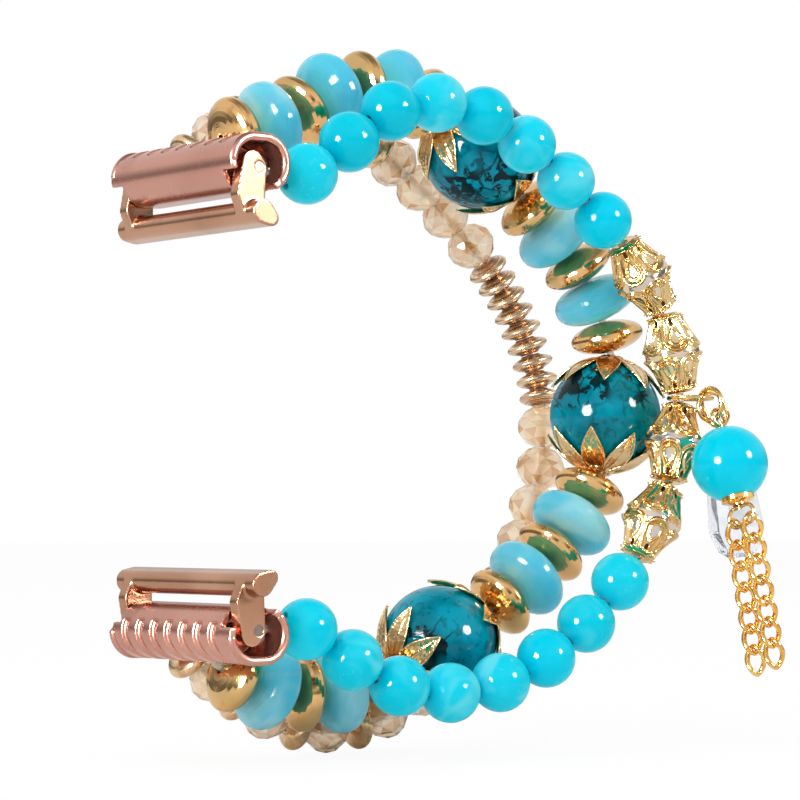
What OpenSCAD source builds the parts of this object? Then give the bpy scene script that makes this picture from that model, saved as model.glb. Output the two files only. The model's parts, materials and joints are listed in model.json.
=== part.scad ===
// Beaded stretch watch band: three elastic cords strung with beads run between two ribbed
// metal connectors, and a charm with a tassel hangs from the front strand.
// +X is the wrist axis, -Y is the open side and +Z is the upper end. The origin lies midway
// between the two hinge pins, in the middle of the band's opening.

/* [Connectors] */
// Distance between the two hinge pins, which is the height of the band's opening
pin_spacing = 43; // [40:0.5:48]
// Length of each connector shell along the wrist axis
shell_len = 21; // [20.2:0.1:22]
// Height of the oval shell, across its narrow way
shell_h = 5.5; // [5.3:0.1:5.8]
// Depth of the oval shell, across its wide way
shell_d = 6.7; // [6.5:0.1:7.2]
// Wall of the shell
shell_wall = 0.7; // [0.5:0.05:0.8]
// Distance from the shell's middle to the hinge pin, towards the band's opening
pin_drop = 0.4; // [0.2:0.1:0.6]
// Thickness of the webs inside the shell that the hinge pin runs in
web_t = 1.2; // [0.8:0.1:1.6]
// Distance of each web from the middle of the shell
web_x = 5; // [4:0.2:5.6]
// Number of slanting ribs on the outer side of each shell
rib_count = 8; // [6:1:8]
// Distance from rib to rib along the shell
rib_pitch = 2.5; // [2.2:0.1:2.6]
// Width of the groove between two ribs
groove_w = 1; // [0.6:0.1:1.2]
// Depth of the groove between two ribs
groove_depth = 0.35; // [0.2:0.05:0.4]

/* [Lugs and pins] */
// Diameter of the hinge pins
pin_d = 1; // [0.9:0.05:1.2]
// Thickness of the two ears of each lug
ear_t = 1.4; // [1:0.1:1.6]
// Distance from the shell's end in to the outer face of an ear
ear_inset = 0.15; // [0.05:0.05:0.3]
// How far the lug's rail stands out past each end of the shell
rail_over = 1.4; // [1:0.1:1.6]

/* [Front strand] */
// Diameter of the round jade beads
round_d = 5.9; // [5.6:0.1:6.4]
// Diameter of the filigree lantern beads at the belly
lantern_d = 6.3; // [5.8:0.1:6.8]
// Length of the filigree lantern beads
lantern_len = 8.7; // [8:0.1:9.4]
// Diameter of a lantern bead's flat ends
lantern_end_d = 3; // [2.4:0.1:3.1]
// Round beads in each half of the front strand
round_count = 8; // [7:1:8]

/* [Middle strand] */
// Diameter of the large turquoise beads
turquoise_d = 11.7; // [11:0.1:12]
// Diameter of the opal rondelles
rondelle_d = 8.8; // [8:0.1:9]
// Thickness of the opal rondelles
rondelle_t = 4.4; // [4:0.1:5]
// Diameter of the gold saucer beads
saucer_d = 7.7; // [7:0.1:8]
// Thickness of the gold saucer beads
saucer_t = 3.4; // [3:0.1:4]
// Thickness of a bead cap's petals
cap_t = 0.3; // [0.2:0.05:0.35]
// Height of a bead cap's hub above the bead
cap_hub = 0.5; // [0.5:0.05:0.8]
// Reach of the petals out from the bead's axis
petal_reach = 5.2; // [4.6:0.1:5.3]
// Width of one petal
petal_w = 2.2; // [2:0.1:2.6]
// Petals on each cap
petal_count = 8; // [6:1:8]

/* [Back strand] */
// Diameter of the faceted crystal beads
crystal_d = 5.4; // [5:0.1:5.8]
// Length of the faceted crystal beads
crystal_len = 4.6; // [4.2:0.1:5]
// Diameter of the gold spacer discs between crystals near the connectors
disc_d = 5.2; // [4.6:0.1:5.6]
// Thickness of those spacer discs
disc_t = 2.2; // [2:0.1:2.5]
// Diameter of the small sharp-rimmed discs at the back
small_disc_d = 4.6; // [4:0.1:5]
// Thickness of the small discs
small_disc_t = 1.7; // [1.5:0.1:1.9]
// Small discs in each of the two stacks
stack_count = 9; // [8:1:9]

/* [Cords] */
// Diameter of the elastic cords
cord_d = 0.8; // [0.6:0.05:0.9]
// Radial clearance of a bead on its cord
cord_fit = 0.08; // [0.05:0.01:0.1]
// Gap left between two neighbouring beads
bead_gap = 0.25; // [0.22:0.01:0.3]
// Diameter of the knot at each end of a cord
knot_d = 1.5; // [1.3:0.05:1.6]

/* [Charm] */
// Room between the two middle lanterns for the jump ring
ring_room = 0.45; // [0.4:0.05:0.8]
// Wire of the jump ring
ring_wire = 0.5; // [0.4:0.05:0.52]
// Middle diameter of the jump ring round the cord
ring_d = 4.4; // [4.3:0.1:4.8]
// Wire of the link that hangs from the jump ring
link_wire = 0.56; // [0.5:0.02:0.6]
// Middle diameter of that link
link_d = 3.3; // [3.2:0.1:3.6]
// Diameter of the charm's round bead
charm_d = 7.8; // [7.4:0.1:8]
// Wire of the head pin through the charm bead
head_wire = 0.44; // [0.4:0.02:0.5]
// Middle diameter of the head pin's top eye
eye_d = 1.7; // [1.6:0.05:1.9]
// Middle height of the head pin's wide bottom loop
loop_d = 1.9; // [1.88:0.02:2.2]
// Middle width of the head pin's wide bottom loop
loop_w = 3.6; // [3.5:0.1:4]
// Diameter of the cap under the charm bead
charm_cap_d = 3.4; // [3:0.1:4.6]
// Lean of the hanging link out from upright
link_lean = 45; // [43:1:47]
// Lean of the charm bead out from upright
charm_lean = 18; // [17:0.5:20]

/* [Tassel] */
// Links in each tassel chain
chain_links = 7; // [6:1:9]
// Wire of the chain links
chain_wire = 0.5; // [0.42:0.02:0.52]
// Outer length of a chain link
chain_link_len = 3.2; // [3:0.05:3.4]
// Outer width of a chain link
chain_link_w = 2.1; // [2:0.02:2.16]
// Width of the crystal drop
drop_w = 6.2; // [5:0.1:6.6]
// Thickness of the crystal drop
drop_t = 3.4; // [2.8:0.1:3.6]
// Length of the crystal drop
drop_len = 14.8; // [13:0.2:16]

/* [Hidden] */

// Roundness of turned pieces and of thin wire
fn_bead = 64;
fn_wire = 24;
// Place of the hinge pins and of the shells' middles
pin_z = pin_spacing / 2;
shell_z = pin_z + pin_drop;
shell_r = shell_h / 2;
shell_flat = shell_d - shell_h;
pin_r = pin_d / 2;
pin_fit = 0.05;
pin_bore_r = pin_r + pin_fit;
groove_slant = 24;
// The shells sit turned on their pins, so the ribs start at another height at each end: the
// angle of the ribs' heads from the open side, away from the band's opening
top_rib_start = 38;
bottom_rib_start = -20;

// The lug's outline seen along the pin, as circles [y, z, radius] with the pin at the origin
ear_top = [-0.75, 0.35, 1.15];
ear_pin = [-0.3, -0.1, 1.05];
neck = [-1.2, -2.6, 1.25];
rail_heel = [-0.6, -4.3, 1.15];
rail_toe = [0.35, -4.9, 0.75];

cord_r = cord_d / 2;
bore_r = cord_r + cord_fit;
knot_r = knot_d / 2;
// The knots lie inside the shell, behind the pin, [y, z] from the shell's middle
knot_at = [1.65, 0.3];

// Strand data in the order front, middle, back
FRONT = 0;
MIDDLE = 1;
BACK = 2;
// Where the cord meets the first bead, [y, z] from the shell's middle, and the strand's x there
strand_exit = [[4.54, -1.55], [4.05, 3.68], [4.05, 1.95]];
strand_x = [7.5, -2.45, -9.05];
// The knots lie between the webs and the lug's ears
knot_x = [7.5, -2.45, -7.6];
// The beads at each end that lie in a straight line, and how steeply that line rises
lead_count = [1, 2, 2];
lead_rise = [24, 18.1, 36.6];
// x of each strand at the back of the wrist, and how far it drifts between top and bottom
strand_back_x = [8.07, -1.05, -13.91];
strand_drift = [-1.57, -2.49, -7.03];
// How the strands depart from a circle: oval and three-cornered shares, the same two shares
// that differ between top and bottom, and sag
strand_oval = [-0.078, -0.062, -0.078];
strand_tri = [0.074, 0.068, 0.076];
strand_odd_oval = [-0.099, -0.152, 0.076];
strand_odd_tri = [0.048, -0.009, 0.016];
strand_sag = [3.31, 9.96, -2.1];

function repeat(kind, n) = [for (i = [1:n]) kind];
function alternate(a, b, n) = [for (i = [1:n]) i % 2 == 1 ? a : b];

front_kinds = concat(repeat("round", round_count), repeat("lantern", 2), ["ring"],
                     repeat("lantern", 2), repeat("round", round_count));
capped = ["cap", "turquoise", "cap"];
middle_kinds = concat(alternate("saucer", "rondelle", 7), capped, alternate("saucer", "rondelle", 5),
                      capped, alternate("saucer", "rondelle", 5), capped,
                      alternate("saucer", "rondelle", 5));
back_kinds = concat(alternate("disc", "crystal", 9), repeat("crystal", 4),
                    repeat("small_disc", stack_count), repeat("crystal", 4),
                    repeat("small_disc", stack_count), ["crystal"],
                    alternate("crystal", "disc", 8));
strand_kinds = [front_kinds, middle_kinds, back_kinds];

// Length that a bead takes up on its cord
function bead_len(kind) =
    kind == "round" ? round_d :
    kind == "lantern" ? lantern_len :
    kind == "ring" ? ring_room :
    kind == "saucer" ? saucer_t :
    kind == "rondelle" ? rondelle_t :
    kind == "cap" ? cap_hub :
    kind == "turquoise" ? turquoise_d :
    kind == "crystal" ? crystal_len :
    kind == "disc" ? disc_t : small_disc_t;

strand_lens = [for (kinds = strand_kinds) [for (kind = kinds) bead_len(kind) + bead_gap]];

function sum(list, n) = n == 0 ? 0 : list[n - 1] + sum(list, n - 1);

// Joint i of the straight run of beads at the top, [y, z]
function lead_point(s, i) =
    [strand_exit[s][0], shell_z + strand_exit[s][1]]
    + sum(strand_lens[s], i) * [cos(lead_rise[s]), sin(lead_rise[s])];
function lead_end(s) = lead_point(s, lead_count[s]);

// Between the straight runs a strand is the curve radius * swell(angle), with the angle
// counted from the back of the wrist. The radius is the one at which the beads, laid along
// the curve as chords, reach from the top run to the bottom one.
function swell(s, a) = 1 + strand_oval[s] * cos(2 * a) + strand_tri[s] * cos(3 * a);

function end_angle(s, radius, low = 95, high = 168, n = 26) =
    let (mid = (low + high) / 2)
    n == 0 ? mid :
    radius * swell(s, mid) * sin(mid) > lead_end(s)[1]
        ? end_angle(s, radius, mid, high, n - 1)
        : end_angle(s, radius, low, mid, n - 1);

function strand_point(s, radius, last, a) =
    let (
        share = (cos(a) - cos(last)) / (1 - cos(last)),
        odd = strand_odd_oval[s] * sin(2 * a) + strand_odd_tri[s] * sin(3 * a),
        reach = radius * (swell(s, a) + share * odd),
        front_y = lead_end(s)[0] - radius * swell(s, last) * cos(last)
    )
    [strand_x[s] + (strand_back_x[s] - strand_x[s]) * share + strand_drift[s] * share * sin(a),
     front_y + reach * cos(a),
     reach * sin(a) + strand_sag[s] * share];

// The step in angle whose chord has the wanted length
function chord_step(s, radius, last, a, wanted, step, n = 5) =
    n == 0 ? step :
    let (chord = norm(strand_point(s, radius, last, a - step) - strand_point(s, radius, last, a)))
    chord_step(s, radius, last, a, wanted, step * wanted / chord, n - 1);

function curve_lens(s) =
    [for (i = [lead_count[s]:len(strand_lens[s]) - 1 - lead_count[s]]) strand_lens[s][i]];

function chain_angles(s, radius, last) =
    let (lens = curve_lens(s))
    [for (i = 0, a = last; i <= len(lens);
          a = i < len(lens)
              ? a - chord_step(s, radius, last, a, lens[i], lens[i] / radius * 180 / PI)
              : a,
          i = i + 1) a];

function chain_end(s, radius) =
    let (last = end_angle(s, radius), angles = chain_angles(s, radius, last))
    angles[len(angles) - 1] + last;

function solve_radius(s, low, high, n = 20) =
    let (mid = (low + high) / 2)
    n == 0 ? mid :
    chain_end(s, mid) > 0 ? solve_radius(s, low, mid, n - 1) : solve_radius(s, mid, high, n - 1);

function strand_radius(s) = solve_radius(s, 0.9 * lead_end(s)[1], 2 * lead_end(s)[1]);

// The points where neighbouring beads meet, from the top connector to the bottom one
function lead_joint(s, i, end) = [strand_x[s], lead_point(s, i)[0], end * lead_point(s, i)[1]];
function strand_joints(s) =
    let (radius = strand_radius(s), last = end_angle(s, radius), n = lead_count[s])
    concat([for (i = [0:n - 1]) lead_joint(s, i, 1)],
           [for (a = chain_angles(s, radius, last)) strand_point(s, radius, last, a)],
           [for (i = [n - 1:-1:0]) lead_joint(s, i, -1)]);

joints = [for (s = [FRONT:BACK]) strand_joints(s)];

function bead_middle(s, i) = (joints[s][i] + joints[s][i + 1]) / 2;
function unit(v) = v / norm(v);
function bead_axis(s, i) = unit(joints[s][i + 1] - joints[s][i]);

// Turns +Z to the direction d
module aim(d) {
    rotate([0, acos(d[2] / norm(d)), atan2(d[1], d[0])])
        children();
}

// Puts a piece on the cord in place of bead i of strand s
module on_cord(s, i) {
    translate(bead_middle(s, i))
        aim(bead_axis(s, i))
            children();
}

// Every bead of one kind on a strand
module each_bead(s, kind) {
    kinds = strand_kinds[s];
    for (i = [0:len(kinds) - 1])
        if (kinds[i] == kind)
            on_cord(s, i)
                children();
}

module bore(length) {
    cylinder(h = length + 2, r = bore_r, center = true, $fn = fn_wire);
}

module ring(middle_d, wire) {
    rotate_extrude($fn = fn_bead)
        translate([middle_d / 2, 0])
            circle(d = wire, $fn = fn_wire);
}

// Connector shells

module oval(r, flat) {
    for (side = [-1, 1])
        translate([side * flat / 2, 0])
            circle(r = r, $fn = fn_bead);
    square([flat, 2 * r], center = true);
}

// A length of the oval along X, from x0 to x1, grown or shrunk by grow
module oval_bar(x0, x1, grow = 0) {
    translate([x0, 0, 0])
        rotate([90, 0, 90])
            linear_extrude(x1 - x0)
                oval(shell_r + grow, shell_flat);
}

// One groove: a slanting slice of the shell's skin, half way round from its head at start
module groove(x, start) {
    reach = 2 * shell_len;
    intersection() {
        difference() {
            oval_bar(-shell_len, shell_len, 1);
            oval_bar(-reach, reach, -groove_depth);
        }
        translate([x, 0, 0])
            rotate([0, 0, -groove_slant])
                cube([groove_w, reach, reach], center = true);
        rotate([-start, 0, 0])
            translate([-shell_len, -shell_d, 0])
                cube([2 * shell_len, 2 * shell_d, shell_h]);
    }
}

// The mouth in each end of the shell that lets the ear and neck of the lug swing
mouth_low = 43;
mouth_high = 83;
module mouth(side) {
    reach = shell_d;
    mouth_len = ear_inset + ear_t + 0.25;
    translate([side * (shell_len / 2 - mouth_len / 2 + 0.5), 0, -pin_drop])
        rotate([90, 0, 90])
            linear_extrude(mouth_len + 1, center = true)
                polygon([[0, 0],
                         reach * [sin(mouth_low), -cos(mouth_low)],
                         reach * [-sin(22), -cos(22)] * 1.2,
                         reach * [-sin(mouth_high), -cos(mouth_high)]]);
}

// The shell with its middle at the origin and the band's opening towards -Z
module connector(rib_start) {
    end_x = shell_len / 2;
    difference() {
        oval_bar(-end_x, end_x);
        oval_bar(-end_x - 1, -web_x - web_t / 2, -shell_wall);
        oval_bar(-web_x + web_t / 2, web_x - web_t / 2, -shell_wall);
        oval_bar(web_x + web_t / 2, end_x + 1, -shell_wall);
        translate([0, 0, -pin_drop])
            rotate([0, 90, 0])
                cylinder(h = shell_len, r = pin_bore_r, center = true, $fn = fn_wire);
        for (i = [0:rib_count - 1])
            groove((i - (rib_count - 1) / 2) * rib_pitch, rib_start);
        for (side = [-1, 1])
            mouth(side);
        for (s = [FRONT:BACK])
            cord_hole(s);
    }
}

// The hole that a cord leaves the shell by, aimed from its knot at the first bead
module cord_hole(s) {
    from = [knot_x[s], knot_at[0], knot_at[1]];
    to = bend_point(s, 1) - [0, 0, shell_z];
    translate(from)
        aim(to - from)
            cylinder(h = norm(to - from) + 1, r = bore_r, $fn = fn_wire);
}

// Puts a piece made for the top end at the top, or mirrored at the bottom
module at_end(end) {
    mirror([0, 0, end == "top" ? 0 : 1])
        children();
}

module connector_at(end) {
    color([0.86, 0.55, 0.48])
        at_end(end)
            translate([0, 0, shell_z])
                connector(end == "top" ? top_rib_start : bottom_rib_start);
}

// Lugs and hinge pins

module lug_slice(x, length, spots) {
    translate([x, 0, 0])
        rotate([90, 0, 90])
            linear_extrude(length)
                hull()
                    for (spot = spots)
                        translate([spot[0], spot[1]])
                            circle(r = spot[2], $fn = 32);
}

// The lug, with its pin along X through the origin and the band's opening towards -Z
module lug() {
    ear_x = shell_len / 2 - ear_inset - ear_t;
    rail_x = shell_len / 2 + rail_over;
    difference() {
        union() {
            lug_slice(-ear_x - ear_t, ear_t, [ear_top, ear_pin, neck, rail_heel]);
            lug_slice(ear_x, ear_t, [ear_top, ear_pin, neck, rail_heel]);
            lug_slice(-rail_x, 2 * rail_x, [rail_heel, rail_toe]);
        }
        rotate([0, 90, 0])
            cylinder(h = 2 * rail_x, r = pin_r, center = true, $fn = fn_wire);
    }
}

module lug_at(end) {
    color([0.8, 0.6, 0.5])
        at_end(end)
            translate([0, 0, pin_z])
                lug();
}

module hinge_pin_at(end) {
    pin_len = shell_len - 2 * ear_inset - 0.2;
    color([0.6, 0.58, 0.55])
        at_end(end)
            translate([0, 0, pin_z])
                rotate([0, 90, 0])
                    cylinder(h = pin_len, r = pin_r, center = true, $fn = fn_wire);
}

// Cords

// The points of one cord: knot, bead joints, knot
function knot_point(s, end) =
    [knot_x[s], knot_at[0], end * (shell_z + knot_at[1])];
// Where the cord bends towards its first bead, a little way before it
bend_before = 0.35;
function bend_point(s, end) =
    [strand_x[s],
     strand_exit[s][0] - bend_before * cos(lead_rise[s]),
     end * (shell_z + strand_exit[s][1] - bend_before * sin(lead_rise[s]))];
function cord_points(s) =
    concat([knot_point(s, 1), bend_point(s, 1)],
           [for (i = [1:len(joints[s]) - 2]) joints[s][i]],
           [bend_point(s, -1), knot_point(s, -1)]);

cord_sides = 8;
// One closed tube along the points, with each ring square to the bend
module cord_tube(points) {
    n = len(points);
    side_x = [1, 0, 0];
    rings = [for (i = [0:n - 1])
        let (
            before = unit(points[max(i, 1)] - points[max(i, 1) - 1]),
            after = unit(points[min(i + 1, n - 1)] - points[min(i + 1, n - 1) - 1]),
            along = unit(before + after),
            u = unit(cross(along, side_x)),
            v = cross(along, u)
        )
        [for (k = [0:cord_sides - 1])
            points[i] + cord_r * (cos(k * 360 / cord_sides) * u + sin(k * 360 / cord_sides) * v)]];
    skin = [for (i = [0:n - 2], k = [0:cord_sides - 1])
        [i * cord_sides + k,
         (i + 1) * cord_sides + k,
         (i + 1) * cord_sides + (k + 1) % cord_sides,
         i * cord_sides + (k + 1) % cord_sides]];
    ends = [[for (k = [0:cord_sides - 1]) k],
            [for (k = [cord_sides - 1:-1:0]) (n - 1) * cord_sides + k]];
    polyhedron([for (r = rings, p = r) p], concat(skin, ends));
}

module cord(s) {
    color([0.85, 0.85, 0.8, 0.6]) {
        cord_tube(cord_points(s));
        for (end = [-1, 1])
            translate(knot_point(s, end))
                sphere(d = knot_d, $fn = fn_wire);
    }
}

// Beads, each with its middle at the origin and its bore along Z

module round_bead(d = round_d) {
    difference() {
        sphere(d = d, $fn = fn_bead);
        bore(d);
    }
}

// Half outlines [radius, height] for rotate_extrude; fullness 1 is an ellipse, more is boxier
function turned_outline(d, t, fullness, n = 20) =
    [for (i = [0:n])
        let (a = -90 + 180 * i / n)
        [d / 2 * pow(abs(cos(a)), 1 / fullness),
         t / 2 * sign(a) * pow(abs(sin(a)), 1 / fullness)]];

module turned_bead(d, t, fullness) {
    difference() {
        rotate_extrude($fn = fn_bead)
            polygon(turned_outline(d, t, fullness));
        bore(t);
    }
}

module lantern_bead() {
    color([0.85, 0.68, 0.35])
        difference() {
            rotate_extrude($fn = fn_bead)
                polygon(lantern_outline());
            bore(lantern_len);
        }
}

// Narrow flat ends, hollow shoulders and a full belly. The body is a little shorter than its
// place on the cord, which leaves the bend room between two lanterns.
lantern_h = lantern_len / 2 - 0.25;
function lantern_outline(n = 24) =
    concat([[0, -lantern_h]],
           [for (i = [0:n])
               let (z = -1 + 2 * i / n, swell_in = pow(cos(90 * z), 0.95))
               [lantern_end_d / 2 + (lantern_d - lantern_end_d) / 2 * swell_in, z * lantern_h]],
           [[0, lantern_h]]);

module turquoise_bead() {
    color([0, 0.52, 0.6])
        round_bead(turquoise_d);
}

// A pointed petal: the overlap of two circles that meet at the bead's axis and at the tip
module petal() {
    half_len = petal_reach / 2;
    sag = petal_w / 2;
    arc_r = (half_len * half_len + sag * sag) / (2 * sag);
    translate([half_len, 0])
        intersection_for (side = [-1, 1])
            translate([0, side * (arc_r - sag)])
                circle(r = arc_r, $fn = fn_bead);
}

// A bead cap over the +Z pole of a turquoise bead whose middle is the origin
module bead_cap() {
    hug = 0.03;
    inner_r = turquoise_d / 2 + hug;
    hub_r = 1.7;
    difference() {
        union() {
            intersection() {
                sphere(r = inner_r + cap_t, $fn = fn_bead);
                linear_extrude(turquoise_d) {
                    for (i = [0:petal_count - 1])
                        rotate(i * 360 / petal_count)
                            petal();
                    circle(r = hub_r, $fn = fn_wire);
                }
            }
            translate([0, 0, inner_r - 0.4])
                cylinder(h = 0.4 + cap_hub, r1 = hub_r, r2 = hub_r * 0.75, $fn = fn_wire);
        }
        sphere(r = inner_r, $fn = fn_bead);
        cylinder(h = turquoise_d, r = bore_r + 0.12, $fn = fn_wire);
    }
}

// The pair of caps on the turquoise bead with index i on the middle cord
module cap_pair(i) {
    color([0.83, 0.62, 0.28])
        on_cord(MIDDLE, i) {
            rotate(180 / petal_count)
                bead_cap();
            mirror([0, 0, 1])
                bead_cap();
        }
}

// A crystal bead: a ten-sided turned form, so each band has flat facets
crystal_sides = 10;
module crystal_bead() {
    end_r = crystal_d * 0.17;
    mid_r = crystal_d * 0.42;
    h = crystal_len / 2 - 0.05;
    rotate_extrude($fn = crystal_sides)
        polygon([[bore_r, -h], [end_r, -h], [mid_r, -h * 0.62], [crystal_d / 2, -h * 0.12],
                 [crystal_d / 2, h * 0.12], [mid_r, h * 0.62], [end_r, h], [bore_r, h]]);
}

// A spacer disc with a sharp turned rim and a narrow hub
module rimmed_disc(d, t) {
    hub = d * 0.28;
    rim = t * 0.12;
    difference() {
        rotate_extrude($fn = fn_bead)
            polygon([[0, -t / 2], [hub, -t / 2], [d / 2 - 0.1, -rim], [d / 2, 0],
                     [d / 2 - 0.1, rim], [hub, t / 2], [0, t / 2]]);
        bore(t);
    }
}

// Charm. It hangs from the gap between the two middle lanterns, out along charm_turn.

ring_index = round_count + 2;
charm_turn = 1;
out = [cos(charm_turn), sin(charm_turn), 0];
down = [0, 0, -1];
clearance = 0.05;
function leaning(angle) = sin(angle) * out + cos(angle) * down;

cord_gap = 0.1;
ring_at = bead_middle(FRONT, ring_index);
ring_middle = ring_at + out * (ring_d / 2 - ring_wire / 2 - cord_r - cord_gap);
ring_far = ring_middle + out * ring_d / 2;
link_dir = leaning(link_lean);
link_middle = ring_far + link_dir * (link_d / 2 - (ring_wire + link_wire) / 2 - clearance);
link_far = link_middle + link_dir * link_d / 2;
charm_dir = leaning(charm_lean);
eye_room = 0.15;
eye_middle = link_far + charm_dir * (eye_d / 2 - (link_wire + head_wire) / 2 - eye_room);
charm_r = charm_d / 2;
charm_middle = eye_middle + charm_dir * ((eye_d + head_wire) / 2 + clearance + charm_r);
charm_cap_t = 0.35;
charm_crown = 0.1;
charm_bottom = charm_middle + charm_dir * (charm_r + clearance + charm_cap_t + charm_crown);
loop_middle = charm_bottom + charm_dir * (loop_d + head_wire) / 2;

module jump_ring() {
    color([0.8, 0.62, 0.3])
        translate(ring_middle)
            ring(ring_d, ring_wire);
}

// Stands a flat ring upright, with the direction out in its plane
module upright() {
    rotate([0, 0, charm_turn])
        rotate([90, 0, 0])
            children();
}

module hanging_link() {
    color([0.8, 0.62, 0.3])
        translate(link_middle)
            upright()
                ring(link_d, link_wire);
}

// Turns +Z along the charm's hanging line, with +X outwards
module along_charm() {
    rotate([0, 0, charm_turn])
        rotate([0, 180 - charm_lean, 0])
            children();
}

module head_pin() {
    shank_from = (eye_d - head_wire) / 2;
    shank_to = norm(loop_middle - eye_middle) - (loop_d - head_wire) / 2;
    color([0.83, 0.66, 0.3])
        translate(eye_middle)
            along_charm() {
                rotate([0, 90, 0])
                    ring(eye_d, head_wire);
                translate([0, 0, shank_from])
                    cylinder(h = shank_to - shank_from, d = head_wire, $fn = fn_wire);
                translate([0, 0, norm(loop_middle - eye_middle)])
                    rotate([0, 90, 0])
                        oval_ring(loop_w, loop_d, head_wire);
            }
}

head_bore_r = head_wire / 2 + cord_fit;
module charm_bead() {
    color([0, 0.83, 0.94])
        translate(charm_middle)
            along_charm()
                difference() {
                    sphere(d = charm_d, $fn = fn_bead);
                    cylinder(h = charm_d + 2, r = head_bore_r, center = true, $fn = fn_wire);
                }
}

module charm_cap() {
    inner_r = charm_r + clearance;
    outer_r = inner_r + charm_cap_t;
    color([0.85, 0.62, 0.25])
        translate(charm_middle)
            along_charm()
                difference() {
                    union() {
                        intersection() {
                            sphere(r = outer_r, $fn = fn_bead);
                            cylinder(h = charm_d, d = charm_cap_d, $fn = fn_bead);
                        }
                        cylinder(h = outer_r + charm_crown, d = charm_cap_d * 0.4, $fn = fn_wire);
                    }
                    sphere(r = inner_r, $fn = fn_bead);
                    cylinder(h = charm_d, r = head_bore_r, $fn = fn_wire);
                }
}

// Tassel chains

// A wire bent to a stadium in the XZ plane, long side along Z. Sizes are those of the wire's middle.
module oval_ring(middle_len, middle_w, wire) {
    straight = middle_len - middle_w;
    rotate([90, 0, 0]) {
        for (turn = [0, 180])
            rotate([0, 0, turn])
                translate([0, straight / 2, 0])
                    rotate_extrude(angle = 180, $fn = fn_bead)
                        translate([middle_w / 2, 0])
                            circle(d = wire, $fn = fn_wire);
        for (side = [-1, 1])
            translate([side * middle_w / 2, 0, 0])
                rotate([90, 0, 0])
                    cylinder(h = straight, d = wire, center = true, $fn = fn_wire);
    }
}

chain_pitch = chain_link_len - 2 * chain_wire - clearance;
chain_spread = 60;
chain_fan = 0.6;
chain_tilt = 9;
chain_heading = 53;
function hanging(tilt, heading) = [sin(tilt) * cos(heading), sin(tilt) * sin(heading), -cos(tilt)];
function chain_dir(side) = hanging(chain_tilt, chain_heading) + side * sin(chain_fan) * out;
charm_side = cos(charm_lean) * out - sin(charm_lean) * down;

// Where the wire of a chain's first link crosses the loop's plane, inside one of its bends.
// side is -1 for the left chain and 1 for the right one.
function chain_top(side) =
    loop_middle + side * (loop_w - loop_d) / 2 * charm_side
    + (loop_d / 2 - (head_wire + chain_wire) / 2 - clearance)
    * (side * sin(chain_spread) * charm_side + cos(chain_spread) * charm_dir);

// The first link stands square to the loop, and the next one square to the first
module tassel_chain(side) {
    first = (chain_link_len - chain_wire) / 2;
    dir = chain_dir(side);
    square = atan2(dir[1], dir[0]) + 90 - charm_turn;
    color([0.9, 0.66, 0.2])
        translate(chain_top(side))
            aim(dir)
                for (i = [0:chain_links - 1])
                    translate([0, 0, first + i * chain_pitch])
                        rotate([0, 0, square + (i % 2) * 90])
                            oval_ring(chain_link_len - chain_wire, chain_link_w - chain_wire, chain_wire);
}

// Crystal drop, hung from the jump ring by its bail

bail_turn = 71;
bail_wire = 0.4;
bail_len = 3.6;
bail_w = 2.2;
bail_lean = 26;
bail_heading = 65;
bail_at = ring_middle + ring_d / 2 * [cos(charm_turn + bail_turn), sin(charm_turn + bail_turn), 0];
bail_dir = hanging(bail_lean, bail_heading);
bail_middle = bail_at + bail_dir * (bail_len / 2 - (ring_wire + bail_wire) / 2 - clearance);
drop_tilt = 8;
drop_dir = hanging(drop_tilt, bail_heading);
drop_hole_r = 0.6;
drop_hole_down = 1;
bail_far = bail_middle + bail_dir * bail_len / 2;

module drop_bail() {
    color([0.8, 0.62, 0.3])
        translate(bail_middle)
            aim(bail_dir)
                oval_ring(bail_len, bail_w, bail_wire);
}

// Rings of the drop [distance from its top, half width, half thickness], as shares of its size
drop_rings = [[0, 0.12, 0.42], [0.13, 0.2, 0.56], [0.5, 0.84, 0.95], [0.8, 1, 1], [0.95, 0.74, 0.6],
              [1, 0.42, 0.32]];
drop_sides = 8;
module crystal_drop() {
    n = len(drop_rings);
    points = [for (r = drop_rings, k = [0:drop_sides - 1])
        let (a = (k + 0.5) * 360 / drop_sides)
        [r[1] * drop_w / 2 * cos(a), r[2] * drop_t / 2 * sin(a), r[0] * drop_len]];
    skin = [for (i = [0:n - 2], k = [0:drop_sides - 1])
        [i * drop_sides + k,
         (i + 1) * drop_sides + k,
         (i + 1) * drop_sides + (k + 1) % drop_sides,
         i * drop_sides + (k + 1) % drop_sides]];
    ends = [[for (k = [0:drop_sides - 1]) k],
            [for (k = [drop_sides - 1:-1:0]) (n - 1) * drop_sides + k]];
    color([0.9, 0.92, 0.95, 0.5])
        translate(bail_far)
            aim(drop_dir)
                translate([0, 0, -drop_hole_down])
                    difference() {
                        polyhedron(points, concat(skin, ends));
                        translate([0, 0, drop_hole_down])
                            rotate([0, 90, 0])
                                cylinder(h = drop_w, r = drop_hole_r, center = true, $fn = fn_wire);
                    }
}

// Draws bead i of the front strand as a round jade bead
module jade_bead(i) {
    color([0, 0.83, 0.94])
        on_cord(FRONT, i)
            round_bead();
}

bottom_first = len(front_kinds) - 1;
first_lantern = round_count;
middle_of_cord = [for (i = [0:len(middle_kinds) - 1]) if (middle_kinds[i] == "turquoise") i];

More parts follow.
